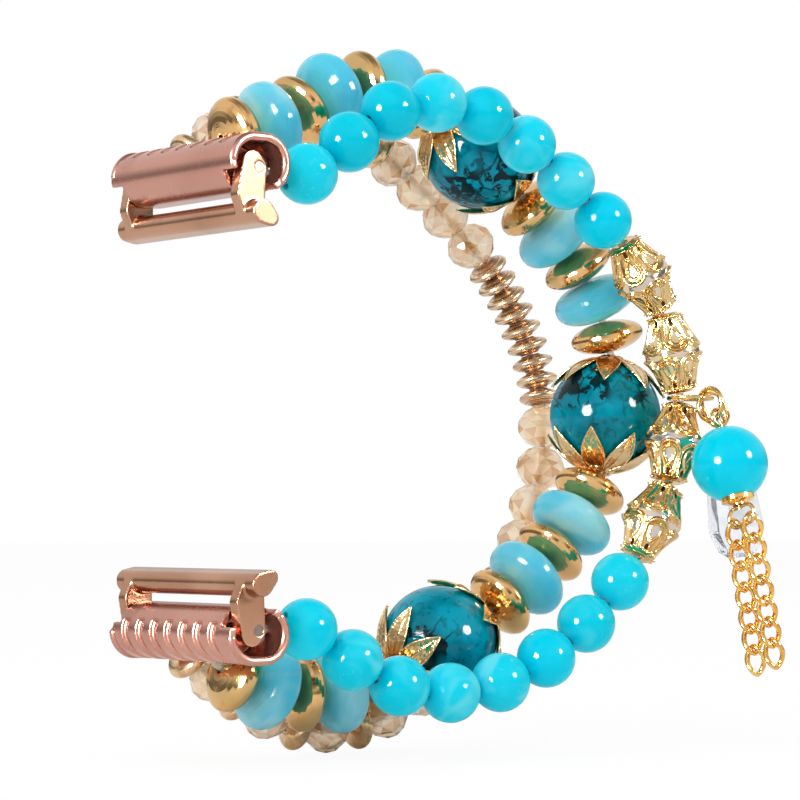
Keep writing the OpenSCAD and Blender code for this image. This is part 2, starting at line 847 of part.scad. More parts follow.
connector_at("top");  // top_connector
connector_at("bottom");  // bottom_connector
lug_at("top");  // top_lug
lug_at("bottom");  // bottom_lug
hinge_pin_at("top");  // top_hinge_pin
hinge_pin_at("bottom");  // bottom_hinge_pin
cord(FRONT);  // front_cord
cord(MIDDLE);  // middle_cord
cord(BACK);  // back_cord
jade_bead(0);  // round_bead_top_1
jade_bead(1);  // round_bead_top_2
jade_bead(2);  // round_bead_top_3
jade_bead(3);  // round_bead_top_4
jade_bead(4);  // round_bead_top_5
jade_bead(5);  // round_bead_top_6
jade_bead(6);  // round_bead_top_7
jade_bead(7);  // round_bead_top_8
jade_bead(bottom_first);  // round_bead_bottom_1
jade_bead(bottom_first - 1);  // round_bead_bottom_2
jade_bead(bottom_first - 2);  // round_bead_bottom_3
jade_bead(bottom_first - 3);  // round_bead_bottom_4
jade_bead(bottom_first - 4);  // round_bead_bottom_5
jade_bead(bottom_first - 5);  // round_bead_bottom_6
jade_bead(bottom_first - 6);  // round_bead_bottom_7
jade_bead(bottom_first - 7);  // round_bead_bottom_8
on_cord(FRONT, first_lantern) lantern_bead();  // lantern_bead_1
on_cord(FRONT, first_lantern + 1) lantern_bead();  // lantern_bead_2
on_cord(FRONT, ring_index + 1) lantern_bead();  // lantern_bead_3
on_cord(FRONT, ring_index + 2) lantern_bead();  // lantern_bead_4
on_cord(MIDDLE, middle_of_cord[0]) turquoise_bead();  // turquoise_bead_top
on_cord(MIDDLE, middle_of_cord[1]) turquoise_bead();  // turquoise_bead_back
on_cord(MIDDLE, middle_of_cord[2]) turquoise_bead();  // turquoise_bead_bottom
cap_pair(middle_of_cord[0]);  // bead_caps_top
cap_pair(middle_of_cord[1]);  // bead_caps_back
cap_pair(middle_of_cord[2]);  // bead_caps_bottom
color([0.45, 0.78, 0.9]) each_bead(MIDDLE, "rondelle") turned_bead(rondelle_d, rondelle_t, 1.15);  // opal_rondelles
color([0.83, 0.66, 0.32]) each_bead(MIDDLE, "saucer") turned_bead(saucer_d, saucer_t, 1);  // gold_saucers
color([0.93, 0.78, 0.6]) each_bead(BACK, "crystal") crystal_bead();  // crystal_beads
color([0.8, 0.62, 0.35]) each_bead(BACK, "disc") turned_bead(disc_d, disc_t, 1.1);  // spacer_discs
color([0.62, 0.5, 0.33]) each_bead(BACK, "small_disc") rimmed_disc(small_disc_d, small_disc_t);  // small_discs
jump_ring();
hanging_link();
head_pin();
charm_bead();
charm_cap();
tassel_chain(-1);  // tassel_chain_left
tassel_chain(1);  // tassel_chain_right
drop_bail();
crystal_drop();
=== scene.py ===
"""Looks of a beaded stretch watch band: jade, turquoise, opal and crystal beads, gilt filigree
and rose-gold connectors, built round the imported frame."""

import json
import logging
import math
from dataclasses import dataclass, field
from enum import Enum
from typing import Sequence, Union

import bpy
import numpy as np
from mathutils import Matrix, Vector


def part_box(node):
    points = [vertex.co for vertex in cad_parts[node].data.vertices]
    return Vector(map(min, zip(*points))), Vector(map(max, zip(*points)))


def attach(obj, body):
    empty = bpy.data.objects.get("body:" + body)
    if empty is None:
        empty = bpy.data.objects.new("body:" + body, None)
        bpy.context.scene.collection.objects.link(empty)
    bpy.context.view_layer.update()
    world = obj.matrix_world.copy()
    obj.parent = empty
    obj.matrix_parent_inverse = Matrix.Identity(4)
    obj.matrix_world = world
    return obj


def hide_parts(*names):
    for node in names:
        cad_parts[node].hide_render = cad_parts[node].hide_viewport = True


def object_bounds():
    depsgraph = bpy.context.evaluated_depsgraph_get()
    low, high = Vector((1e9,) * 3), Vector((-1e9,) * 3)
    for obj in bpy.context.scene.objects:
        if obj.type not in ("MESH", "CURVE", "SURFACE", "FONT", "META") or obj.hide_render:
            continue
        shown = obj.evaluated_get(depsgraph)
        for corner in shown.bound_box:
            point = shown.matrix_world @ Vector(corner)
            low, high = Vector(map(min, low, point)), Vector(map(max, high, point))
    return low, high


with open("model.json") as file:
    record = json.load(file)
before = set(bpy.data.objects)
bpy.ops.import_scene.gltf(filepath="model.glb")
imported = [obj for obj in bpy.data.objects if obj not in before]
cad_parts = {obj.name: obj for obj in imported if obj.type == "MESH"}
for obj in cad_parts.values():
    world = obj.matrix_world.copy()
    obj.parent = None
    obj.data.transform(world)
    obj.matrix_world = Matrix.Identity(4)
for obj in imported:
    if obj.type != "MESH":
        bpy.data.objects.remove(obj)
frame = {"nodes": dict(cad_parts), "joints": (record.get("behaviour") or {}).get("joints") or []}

log = logging.getLogger("watch_band")
CAD_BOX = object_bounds()
MM = 0.001
WELD_GAP = 1e-6
# Name of the mesh's mask of tone and painted light: painted shade in recesses and windows, painted
# reflection in crystal facets, and the filigree's wire tone.
TONE_AND_PAINTED_LIGHT = "hollow"
Colour = tuple[float, float, float]
Socket = bpy.types.NodeSocket
Number = Union[float, "Val"]
WHITE: Colour = (1.0, 1.0, 1.0)


def hue(red: int, green: int, blue: int) -> Colour:
    """Turns a colour written as 0 to 255 screen values into the linear values of a shader.

    Args:
        red: Screen value of red.
        green: Screen value of green.
        blue: Screen value of blue.

    Returns:
        The three linear values.
    """
    shares = (v / 255 for v in (red, green, blue))
    return tuple(s / 12.92 if s <= 0.04045 else ((s + 0.055) / 1.055) ** 2.4 for s in shares)


class CellFeature(Enum):
    """What the distance in a pattern of cells is measured to."""

    MIDDLE = "F1"
    EDGE = "DISTANCE_TO_EDGE"


class End(Enum):
    """The two ends of the band."""

    TOP = "top"
    BOTTOM = "bottom"


class Side(Enum):
    """The two sides of the tassel."""

    LEFT = "left"
    RIGHT = "right"


class Pole(Enum):
    """An end of a capped bead: its direction along the cord, and its petals' turn in steps."""

    LOWER = (1, 0.5)
    UPPER = (-1, 0.33)


class Val:
    """A shader value that takes part in Python arithmetic by adding Math nodes."""

    def __init__(self, recipe: "Recipe", socket: Socket) -> None:
        """Keeps the recipe that the socket belongs to."""
        self.recipe = recipe
        self.socket = socket

    def _math(self, operation: str, *terms: Number) -> "Val":
        """Adds one Math node and returns its result."""
        node = self.recipe.node("ShaderNodeMath", {"operation": operation}, dict(enumerate(terms)))
        return Val(self.recipe, node.outputs[0])

    def __add__(self, other: Number) -> "Val":
        """self + other."""
        return self._math("ADD", self, other)

    __radd__ = __add__

    def __sub__(self, other: Number) -> "Val":
        """self - other."""
        return self._math("SUBTRACT", self, other)

    def __rsub__(self, other: Number) -> "Val":
        """other - self."""
        return self._math("SUBTRACT", other, self)

    def __mul__(self, other: Number) -> "Val":
        """self * other."""
        return self._math("MULTIPLY", self, other)

    __rmul__ = __mul__

    def most(self, other: Number) -> "Val":
        """The greater of self and other."""
        return self._math("MAXIMUM", self, other)

    def step(self, low: float, high: float) -> "Val":
        """Rises smoothly from 0 at low to 1 at high, or falls where high is below low."""
        node = self.recipe.node("ShaderNodeMapRange", {"interpolation_type": "SMOOTHSTEP"},
                                {"Value": self, "From Min": low, "From Max": high})
        return Val(self.recipe, node.outputs[0])


class Recipe:
    """The node tree of one material or of the world, written as Python expressions."""

    def __init__(self, tree: bpy.types.NodeTree) -> None:
        """Starts from an empty tree."""
        self.tree = tree
        tree.nodes.clear()

    def node(self, kind: str, settings: dict | None = None,
             inputs: dict | None = None) -> bpy.types.Node:
        """Adds a node, sets it up, and then fills or links its sockets.

        Args:
            kind: The node's type.
            settings: Its properties, set before its sockets. "stops" fills a colour ramp.
            inputs: Socket name or number to a value, colour, Val or output socket.

        Returns:
            The new node.
        """
        node = self.tree.nodes.new(kind)
        for key, value in (settings or {}).items():
            if key == "stops":
                self._stops(node.color_ramp, value)
            else:
                setattr(node, key, value)
        for key, value in (inputs or {}).items():
            socket = node.inputs[key]
            if isinstance(value, Val):
                value = value.socket
            if isinstance(value, Socket):
                self.tree.links.new(value, socket)
            elif hasattr(value, "__len__") and socket.type == "RGBA":
                socket.default_value = (*value[:3], 1.0)
            else:
                socket.default_value = value
        return node

    @staticmethod
    def _stops(ramp: bpy.types.ColorRamp, stops: Sequence[tuple[float, Colour]]) -> None:
        """Gives a colour ramp its stops."""
        while len(ramp.elements) < len(stops):
            ramp.elements.new(1.0)
        for element, (place, colour) in zip(ramp.elements, stops):
            element.position = place
            element.color = (*colour, 1.0)

    def place(self) -> Socket:
        """The point on the surface, in metres."""
        return self.node("ShaderNodeTexCoord").outputs["Object"]

    def noise(self, scale: float, detail: float = 3.0, distortion: float = 0.0,
              at: Socket | None = None) -> Val:
        """Cloudy noise around 0.5, with scale features in a millimetre, read at a point."""
        node = self.node("ShaderNodeTexNoise", None, {
            "Vector": at or self.place(), "Scale": scale / MM, "Detail": detail,
            "Distortion": distortion})
        return Val(self, node.outputs[0])

    def cells(self, scale: float, feature: CellFeature = CellFeature.MIDDLE,
              at: Socket | None = None) -> Val:
        """Distance to a feature of a pattern with scale cells in a millimetre."""
        node = self.node("ShaderNodeTexVoronoi", {"feature": feature.value},
                         {"Vector": at or self.place(), "Scale": scale / MM})
        return Val(self, node.outputs["Distance"])

    def bent_place(self, scale: float, reach: float) -> Socket:
        """The surface point pushed about by coloured noise, so that patterns wander.

        Args:
            scale: Features of the push in a millimetre.
            reach: How far it pushes, in millimetres.

        Returns:
            The pushed point.
        """
        push = self.node("ShaderNodeTexNoise", None,
                         {"Vector": self.place(), "Scale": scale / MM, "Detail": 2.0})
        centred = self.node("ShaderNodeVectorMath", {"operation": "SUBTRACT"},
                            {0: push.outputs["Color"], 1: (0.5, 0.5, 0.5)})
        scaled = self.node("ShaderNodeVectorMath", {"operation": "SCALE"},
                           {0: centred.outputs[0], "Scale": reach * MM})
        return self.node("ShaderNodeVectorMath", {"operation": "ADD"},
                         {0: self.place(), 1: scaled.outputs[0]}).outputs[0]

    def blend(self, share: Number, first: Colour | Socket, second: Colour | Socket) -> Socket:
        """Mixes two colours, all first at a share of 0 and all second at 1."""
        node = self.node("ShaderNodeMix", {"data_type": "RGBA"}, {0: share, 6: first, 7: second})
        return node.outputs[2]

    def hollow(self) -> Val:
        """The mask of tone and painted light that the mesh carries at its points or faces."""
        node = self.node("ShaderNodeAttribute", {"attribute_name": TONE_AND_PAINTED_LIGHT})
        return Val(self, node.outputs["Fac"])

    def bump(self, height: Val, depth: float) -> Socket:
        """The normal of a fine relief, whose depth is in millimetres."""
        node = self.node("ShaderNodeBump", None, {"Height": height, "Distance": depth * MM})
        return node.outputs[0]

    def surface(self, uniform: dict, varied: dict) -> None:
        """Ends with one Principled shader, of uniform values and links that vary over it."""
        shader = self.node("ShaderNodeBsdfPrincipled", None, {**uniform, **varied})
        self.node("ShaderNodeOutputMaterial", None, {"Surface": shader.outputs[0]})


class Finish:
    """A finish: it makes its material once, and gives the same one after that."""

    name: str

    def __init_subclass__(cls) -> None:
        """Gives each kind of finish its own shelf of made materials."""
        cls.made = {}

    def material(self) -> bpy.types.Material:
        """The material, made on first use."""
        if self.name not in self.made:
            made = bpy.data.materials.new(self.name)
            made.use_nodes = True
            self.write(Recipe(made.node_tree))
            self.made[self.name] = made
        return self.made[self.name]

    def write(self, recipe: Recipe) -> None:
        """Writes the material's nodes."""
        raise NotImplementedError


@dataclass(frozen=True)
class Plate(Finish):
    """Polished or antiqued plate: two tones, worn roughness, fine scratches, random dark dirt, and
    painted shade in recesses that the mesh marks.
    """

    name: str
    tone: Colour
    second: Colour
    grime_and_shade_tone: Colour
    patch: float = 0.5
    polish: float = 0.12
    wear: float = 0.12
    hammer: float = 0.0
    hollows: bool = False

    def write(self, recipe: Recipe) -> None:
        """Writes the nodes of the plate.

        Args:
            recipe: Where they go.
        """
        patches = recipe.noise(self.patch, 2.0, 0.6).step(0.42, 0.62)
        colour = recipe.blend(patches, self.tone, self.second)
        grime_and_shade = recipe.noise(self.patch * 3.5, 5.0).step(0.58, 0.75) * 0.45
        # Where the mesh marks recesses, they get painted shade in the same dark colour as the dirt.
        if self.hollows:
            grime_and_shade = grime_and_shade.most(recipe.hollow())
        colour = recipe.blend(grime_and_shade, colour, self.grime_and_shade_tone)
        rough = recipe.noise(3.0, 4.0) * self.wear + grime_and_shade * 0.2 + (self.polish - self.wear / 2)
        grain = recipe.noise(5.0, 4.0) * 0.35
        if self.hammer:
            grain = grain + recipe.cells(2.1, at=recipe.bent_place(1.2, 0.3)) * 1.2
        depth = 0.012 + self.hammer
        recipe.surface({"Metallic": 1.0}, {
            "Base Color": colour, "Roughness": rough.most(0.03),
            "Normal": recipe.bump(grain, depth)})


@dataclass(frozen=True)
class Filigree(Finish):
    """Cast lace: gilt wires on a silvery ground, with painted shade in its sunken windows.

    The mesh's mask is 0 on the ground, about 0.6 on the wires and 1 in the windows; its darkest
    values are painted shade.
    """

    name: str = "filigree_gold"
    ground: Colour = hue(204, 196, 196)
    warm_ground: Colour = hue(226, 202, 160)
    wire: Colour = hue(230, 196, 140)
    shade: Colour = hue(206, 166, 104)
    shaded_window: Colour = hue(78, 46, 20)

    def write(self, recipe: Recipe) -> None:
        """Writes the nodes of the lace.

        Args:
            recipe: Where they go.
        """
        mask = recipe.hollow()
        gold = recipe.blend(recipe.noise(0.28, 2.0, 0.6).step(0.42, 0.62), self.wire, self.shade)
        warm = recipe.noise(0.16, 2.0).step(0.42, 0.56)
        ground = recipe.blend(warm, self.ground, self.warm_ground)
        colour = recipe.blend(mask.step(0.1, 0.45), ground, gold)
        # Painted shade: the dark colour in the windows, between the lobes and along the wires.
        colour = recipe.blend(mask.step(0.66, 0.94), colour, self.shaded_window)
        recipe.surface({"Metallic": 1.0}, {
            "Base Color": colour, "Roughness": recipe.noise(3.0, 4.0) * 0.08 + 0.1,
            "Normal": recipe.bump(recipe.noise(1.6, 3.0), 0.02)})


@dataclass(frozen=True)
class Jade(Finish):
    """Dyed stone with a bright polish and milky clouds inside."""

    name: str
    tone: Colour
    cloud: Colour
    milk: float = 0.5

    def write(self, recipe: Recipe) -> None:
        """Writes the nodes of the stone.

        Args:
            recipe: Where they go.
        """
        clouds = recipe.noise(0.22, 2.0, 0.8).step(0.46, 0.66) * self.milk
        threads = recipe.noise(1.1, 3.0, 1.5).step(0.57, 0.72) * (0.25 * self.milk)
        colour = recipe.blend(clouds.most(threads), self.tone, self.cloud)
        recipe.surface(
            {"Subsurface Weight": 0.15, "Subsurface Radius": (0.3, 0.9, 1.0),
             "Subsurface Scale": 1.0 * MM, "Specular IOR Level": 0.12, "IOR": 1.5},
            {"Base Color": colour, "Roughness": recipe.noise(0.8, 2.0) * 0.04 + 0.04})


@dataclass(frozen=True)
class Turquoise(Finish):
    """Deep teal stone with dark matrix: veins round rounded cells, and black blotches."""

    name: str = "turquoise_stone"
    tone: Colour = hue(0, 152, 176)
    shade: Colour = hue(0, 118, 138)
    matrix: Colour = hue(4, 18, 22)

    def write(self, recipe: Recipe) -> None:
        """Writes the nodes of the stone.

        Args:
            recipe: Where they go.
        """
        wander = recipe.bent_place(0.7, 0.8)
        where = recipe.noise(0.13, 2.0).step(0.47, 0.56)
        blotch = recipe.noise(0.42, 9.0, 0.6, wander).step(0.5, 0.55)
        crumbs = recipe.noise(1.2, 9.0, 0.4, wander).step(0.54, 0.6)
        veins = recipe.cells(0.26, CellFeature.EDGE, wander).step(0.04, 0.01) * where
        dark = (blotch * where).most(crumbs * where).most(crumbs * 0.35).most(veins * 0.85)
        base = recipe.blend(recipe.noise(0.22, 3.0).step(0.4, 0.62), self.tone, self.shade)
        recipe.surface(
            {"Specular IOR Level": 0.12, "IOR": 1.52},
            {"Base Color": recipe.blend(dark * 0.95, base, self.matrix),
             "Roughness": dark * 0.1 + 0.03, "Normal": recipe.bump(1.0 - dark, 0.005)})


@dataclass(frozen=True)
class Opal(Finish):
    """Milky sky-blue glass with paler clouds and a clear polish."""

    name: str = "sky_opal"
    tone: Colour = hue(92, 208, 234)
    milk: Colour = hue(176, 234, 242)
    mauve: Colour = hue(132, 204, 236)

    def write(self, recipe: Recipe) -> None:
        """Writes the nodes of the glass.

        Args:
            recipe: Where they go.
        """
        clouds = recipe.noise(0.14, 2.0, 0.5).step(0.42, 0.66)
        drift = recipe.noise(0.3, 3.0, 1.0).step(0.55, 0.75)
        colour = recipe.blend(clouds * 0.75, self.tone, self.milk)
        colour = recipe.blend(drift * 0.5, colour, self.mauve)
        recipe.surface(
            {"Subsurface Weight": 0.4, "Subsurface Radius": (0.7, 0.9, 1.0),
             "Subsurface Scale": 1.5 * MM, "Transmission Weight": 0.2,
             "Specular IOR Level": 0.25, "IOR": 1.35},
            {"Base Color": colour, "Roughness": recipe.noise(0.6, 2.0) * 0.05 + 0.04})


@dataclass(frozen=True)
class CutGlass(Finish):
    """Faceted glass: clear or tinted, with a faint foil sheen that drifts through it, and painted
    reflection that darkens the facets the mesh marks.
    """

    name: str
    tone: Colour
    sheen: Colour
    # Colour of facets darkened by painted reflection.
    depth: Colour
    clear: float = 0.85

    def write(self, recipe: Recipe) -> None:
        """Writes the nodes of the glass.

        Args:
            recipe: Where they go.
        """
        drift = recipe.noise(0.3, 2.0, 0.6).step(0.4, 0.62)
        colour = recipe.blend(drift, self.tone, self.sheen)
        # Painted reflection: facets that the mesh marks are darkened towards the third colour.
        colour = recipe.blend(recipe.hollow(), colour, self.depth)
        recipe.surface(
            {"Transmission Weight": self.clear, "IOR": 1.5},
            {"Base Color": colour, "Roughness": recipe.noise(0.9, 2.0) * 0.03 + 0.01})


@dataclass(frozen=True)
class Elastic(Finish):
    """Clear stretch cord."""

    name: str = "stretch_cord"
    tone: Colour = hue(236, 240, 238)
    dull: Colour = hue(216, 222, 218)

    def write(self, recipe: Recipe) -> None:
        """Writes the nodes of the cord.

        Args:
            recipe: Where they go.
        """
        streaks = recipe.noise(1.4, 3.0).step(0.4, 0.7)
        recipe.surface({"Transmission Weight": 0.6, "IOR": 1.4},
                       {"Base Color": recipe.blend(streaks, self.tone, self.dull),
                        "Roughness": streaks * 0.15 + 0.25})


@dataclass(frozen=True)
class Steel(Finish):
    """Ground steel of the hinge pins, toned darker than bare steel as painted shade for their
    sunken ends.
    """

    name: str = "pin_steel"
    tone: Colour = hue(128, 118, 110)
    bright: Colour = hue(150, 146, 142)

    def write(self, recipe: Recipe) -> None:
        """Writes the nodes of the steel.

        Args:
            recipe: Where they go.
        """
        rings = recipe.noise(4.0, 4.0)
        recipe.surface({"Metallic": 1.0},
                       {"Base Color": recipe.blend(rings.step(0.5, 0.8), self.tone, self.bright),
                        "Roughness": rings * 0.2 + 0.14, "Normal": recipe.bump(rings, 0.006)})


@dataclass(frozen=True)
class WhiteFloor(Finish):
    """Matt white floor that the camera sees as bright as the background, with soft shadows."""

    name: str = "white_floor"
    seen_glow: float = 0.93

    def write(self, recipe: Recipe) -> None:
        """Writes the nodes of the floor.

        Args:
            recipe: Where they go.
        """
        seen = Val(recipe, recipe.node("ShaderNodeLightPath").outputs["Is Camera Ray"])
        matt = recipe.node("ShaderNodeBsdfDiffuse", None, {"Color": (0.92, 0.92, 0.92)})
        glow = recipe.node("ShaderNodeEmission", None, {"Color": WHITE, "Strength": 1.0})
        mix = recipe.node("ShaderNodeMixShader", None, {
            0: seen * self.seen_glow, 1: matt.outputs[0], 2: glow.outputs[0]})
        recipe.node("ShaderNodeOutputMaterial", None, {"Surface": mix.outputs[0]})


ROSE_GOLD = Plate("rose_gold", hue(194, 142, 126), hue(186, 134, 118), hue(116, 76, 66),
                  patch=0.05, polish=0.26, wear=0.08)
LUG_METAL = Plate("lug_metal", hue(188, 142, 114), hue(172, 126, 98), hue(100, 70, 54),
                  patch=0.05, polish=0.22, wear=0.06)
YELLOW_GOLD = Plate("yellow_gold", hue(242, 196, 116), hue(228, 174, 92), hue(160, 96, 34),
                    patch=0.4, polish=0.12, wear=0.08)
PALE_GOLD = Plate("pale_gold", hue(222, 184, 124), hue(204, 164, 104), hue(130, 92, 50),
                  patch=0.4, polish=0.12, wear=0.06)
SAUCER_GOLD = Plate("saucer_gold", hue(222, 176, 118), hue(202, 168, 112), hue(134, 84, 46),
                    patch=0.16, polish=0.1, wear=0.08)
ANTIQUE_GOLD = Plate("antique_gold", hue(226, 192, 150), hue(204, 168, 126), hue(116, 82, 54),
                     patch=0.8, polish=0.16, wear=0.1)
DISC_BRONZE = Plate("disc_bronze", hue(226, 198, 166), hue(206, 174, 142), hue(132, 98, 72),
                    patch=0.6, polish=0.22, wear=0.1, hollows=True)
PETAL_GOLD = Plate("petal_gold", hue(236, 206, 154), hue(220, 188, 134), hue(146, 92, 44),
                   patch=0.4, polish=0.14, wear=0.08, hammer=0.03, hollows=True)
# The third colour of each glass is painted reflection, for facets that the mesh marks.
CHAMPAGNE = CutGlass("champagne_crystal", hue(255, 246, 228), hue(255, 232, 198),
                     hue(206, 150, 96), clear=0.62)
CLEAR_GLASS = CutGlass("clear_crystal", hue(246, 247, 252), hue(232, 235, 244),
                       hue(150, 156, 172), clear=0.92)


class Mould:
    """Gathers grids, tubes and granules into one mesh, in millimetres."""

    def __init__(self) -> None:
        """Starts empty."""
        self.points: list[np.ndarray] = []
        self.faces: list[tuple[int, ...]] = []
        self.marks: list[np.ndarray] = []
        self.count = 0

    def add(self, points: np.ndarray, mark: np.ndarray | float) -> int:
        """Adds points.

        Args:
            points: Rows of points.
            mark: The mask of tone and painted light of each, or one for all.

        Returns:
            The number of the first.
        """
        first = self.count
        self.points.append(points)
        self.marks.append(np.broadcast_to(np.asarray(mark, float).ravel(), (len(points),)))
        self.count += len(points)
        return first

    def grid(self, points: np.ndarray, around: bool = False, along: bool = False,
             mark: np.ndarray | float = 0.0) -> None:
        """Adds a sheet of quads.

        Args:
            points: Rows by columns by 3.
            around: Joins the last column to the first.
            along: Joins the last row to the first.
            mark: The hollow mask of each point, or one for all.
        """
        rows, cols = points.shape[:2]
        first = self.add(points.reshape(-1, 3), mark)
        for i in range(rows if along else rows - 1):
            a, b = first + i * cols, first + (i + 1) % rows * cols
            for j in range(cols if around else cols - 1):
                k = (j + 1) % cols
                self.faces.append((a + j, a + k, b + k, b + j))

    def fan(self, ring: np.ndarray, turned: bool = False) -> None:
        """Closes a ring of points with one face.

        Args:
            ring: Rows of points.
            turned: Makes it face the other way.
        """
        first = self.add(ring, 0.0)
        order = range(first, first + len(ring))
        self.faces.append(tuple(reversed(order)) if turned else tuple(order))

    def tube(self, path: np.ndarray, radius: float | np.ndarray, sides: int = 10,
             closed: bool = False) -> None:
        """Adds a wire along a path.

        Args:
            path: Points of its centreline.
            radius: Its radius, one for all or one for each point.
            sides: Points round it.
            closed: Joins its end to its start.
        """
        radius = np.broadcast_to(np.asarray(radius, float), (len(path),))
        before = np.roll(path, 1, 0) if closed else np.vstack([path[:1], path[:-1]])
        after = np.roll(path, -1, 0) if closed else np.vstack([path[1:], path[-1:]])
        ahead = after - before
        ahead /= np.linalg.norm(ahead, axis=1)[:, None]
        side = np.cross(ahead[0], [0.31, 0.52, 0.8])
        sides_at = []
        for a in ahead:
            side = side - a * (side @ a)
            side /= np.linalg.norm(side)
            sides_at.append(side.copy())
        across = np.array(sides_at)
        up = np.cross(ahead, across)
        if closed:
            slip = math.atan2(across[-1] @ up[0], across[-1] @ across[0])
            turn = -slip * np.arange(len(path)) / len(path)
        else:
            turn = np.zeros(len(path))
        angles = np.linspace(0, 2 * np.pi, sides, endpoint=False)[None] + turn[:, None]
        out = (np.cos(angles)[..., None] * across[:, None]
               + np.sin(angles)[..., None] * up[:, None])
        ring = path[:, None] + radius[:, None, None] * out
        self.grid(ring, around=True, along=closed)
        if not closed:
            self.fan(ring[0], True)
            self.fan(ring[-1])

    def pour(self, name: str, finish: Finish, smooth: bool = True,
             place: Matrix | None = None) -> bpy.types.Object:
        """Makes the mesh object.

        Args:
            name: The piece's name.
            finish: Its finish.
            smooth: Shades it smooth.
            place: Where it goes, in millimetres.

        Returns:
            The new object, with its points in the row frame and in metres.
        """
        points = np.vstack(self.points)
        if place is not None:
            points = placed(points, place)
        mesh = bpy.data.meshes.new(name)
        mesh.from_pydata((points * MM).tolist(), [], self.faces)
        marks = np.concatenate(self.marks)
        if marks.any():
            layer = mesh.attributes.new(TONE_AND_PAINTED_LIGHT, "FLOAT", "POINT")
            layer.data.foreach_set("value", marks.astype(np.float32))
        mesh.polygons.foreach_set("use_smooth", [smooth] * len(mesh.polygons))
        mesh.materials.append(finish.material())
        mesh.validate()
        return put_in_scene(name, mesh)


def put_in_scene(name: str, data: bpy.types.ID) -> bpy.types.Object:
    """Makes an object and links it to the scene.

    Args:
        name: Its name.
        data: Its mesh, lamp or camera.

    Returns:
        The object.
    """
    made = bpy.data.objects.new(name, data)
    bpy.context.scene.collection.objects.link(made)
    return made


def stand_in(piece: bpy.types.Object, body: str, node: str) -> None:
    """Makes a piece stand for a CAD node.

    Args:
        piece: The new piece.
        body: The body that it rides on.
        node: The CAD node that it stands for.
    """
    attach(piece, body)
    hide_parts(node)


def placed(points: np.ndarray, place: Matrix) -> np.ndarray:
    """Moves points to a place, both in millimetres."""
    turn = np.array(place.to_3x3(), float)
    return points @ turn.T + np.array(place.translation, float)


def along(centre: Sequence[float], axis: Sequence[float]) -> Matrix:
    """The place, in millimetres, that puts a piece's middle and its own Z on an axis."""
    turn = Vector(axis).normalized().to_track_quat("Z", "Y").to_matrix().to_4x4()
    return Matrix.Translation(Vector(centre)) @ turn


def spun(outline: np.ndarray, sides: int = 72) -> np.ndarray:
    """Turns an outline about Z.

    Args:
        outline: Rows of radius and height.
        sides: Points round the axis.

    Returns:
        Rows by sides by 3 points.
    """
    angles = np.linspace(0, 2 * np.pi, sides, endpoint=False)
    r, z = outline[:, 0][:, None], outline[:, 1][:, None]
    return np.stack([r * np.cos(angles), r * np.sin(angles), z + 0 * angles], -1)


def bead_outline(radius: float, bore: float, rows: int = 40) -> np.ndarray:
    """The outline of a drilled round bead, with its hole's lips broken.

    Args:
        radius: The bead's radius.
        bore: The hole's radius.
        rows: Points over the outside.

    Returns:
        Closed rows of radius and height, up the outside and down the hole.
    """
    lip = 0.12
    start = math.asin((bore + lip) / radius)
    polar = np.linspace(math.pi - start, start, rows)
    outside = np.stack([radius * np.sin(polar), radius * np.cos(polar)], 1)
    edge = outside[-1, 1]
    top = [[bore + lip * 0.35, edge - 0.01], [bore, edge - lip * 0.9]]
    return np.array([*outside.tolist(), *top, *[[r, -z] for r, z in reversed(top)]])


def poly_distance(x: np.ndarray, y: np.ndarray, path: np.ndarray) -> np.ndarray:
    """Distance from points to a polyline.

    Args:
        x: First coordinates, any shape.
        y: Second coordinates.
        path: Rows of points of the polyline.

    Returns:
        The distances.
    """
    best = np.full(x.shape, 1e9)
    for (ax, ay), (bx, by) in zip(path[:-1], path[1:]):
        dx, dy = bx - ax, by - ay
        t = np.clip(((x - ax) * dx + (y - ay) * dy) / (dx * dx + dy * dy + 1e-12), 0, 1)
        best = np.minimum(best, np.hypot(x - ax - t * dx, y - ay - t * dy))
    return best


def ridge(distance: np.ndarray, width: float) -> np.ndarray:
    """A rounded ridge, 1 on its line and falling to 0 about a width away."""
    return np.exp(-(distance / width) ** 2)


def smooth_step(value: np.ndarray, low: float, high: float) -> np.ndarray:
    """Rises smoothly from 0 at low to 1 at high."""
    t = np.clip((value - low) / (high - low), 0, 1)
    return t * t * (3 - 2 * t)


def joint(name: str) -> dict:
    """The record's joint of that name."""
    return next(j for j in frame["joints"] if j["name"] == name)


def joint_place(name: str) -> Matrix:
    """The place of a piece that spins on a joint: its middle on the joint, its Z on the axis."""
    found = joint(name)
    return along(Vector(found["pos_m"]) / MM, found["axis"])


def islands(node: str) -> list[np.ndarray]:
    """Splits a group node into its separate solids.

    Args:
        node: The CAD node's name.

    Returns:
        The distinct points of each solid, in millimetres.
    """
    mesh = frame["nodes"][node].data
    points = np.array([v.co for v in mesh.vertices], float).reshape(-1, 3) / MM
    _, first, same = np.unique(points.round(5), axis=0, return_index=True, return_inverse=True)
    same = same.ravel()
    root = list(range(len(first)))

    def find(i: int) -> int:
        """The number that stands for i's solid."""
        while root[i] != i:
            root[i] = root[root[i]]
            i = root[i]
        return i

    for polygon in mesh.polygons:
        start = find(int(same[polygon.vertices[0]]))
        for corner in polygon.vertices[1:]:
            root[find(int(same[corner]))] = start
    owner = np.array([find(i) for i in range(len(first))])
    return [points[first[owner == k]] for k in sorted(set(owner.tolist()))]


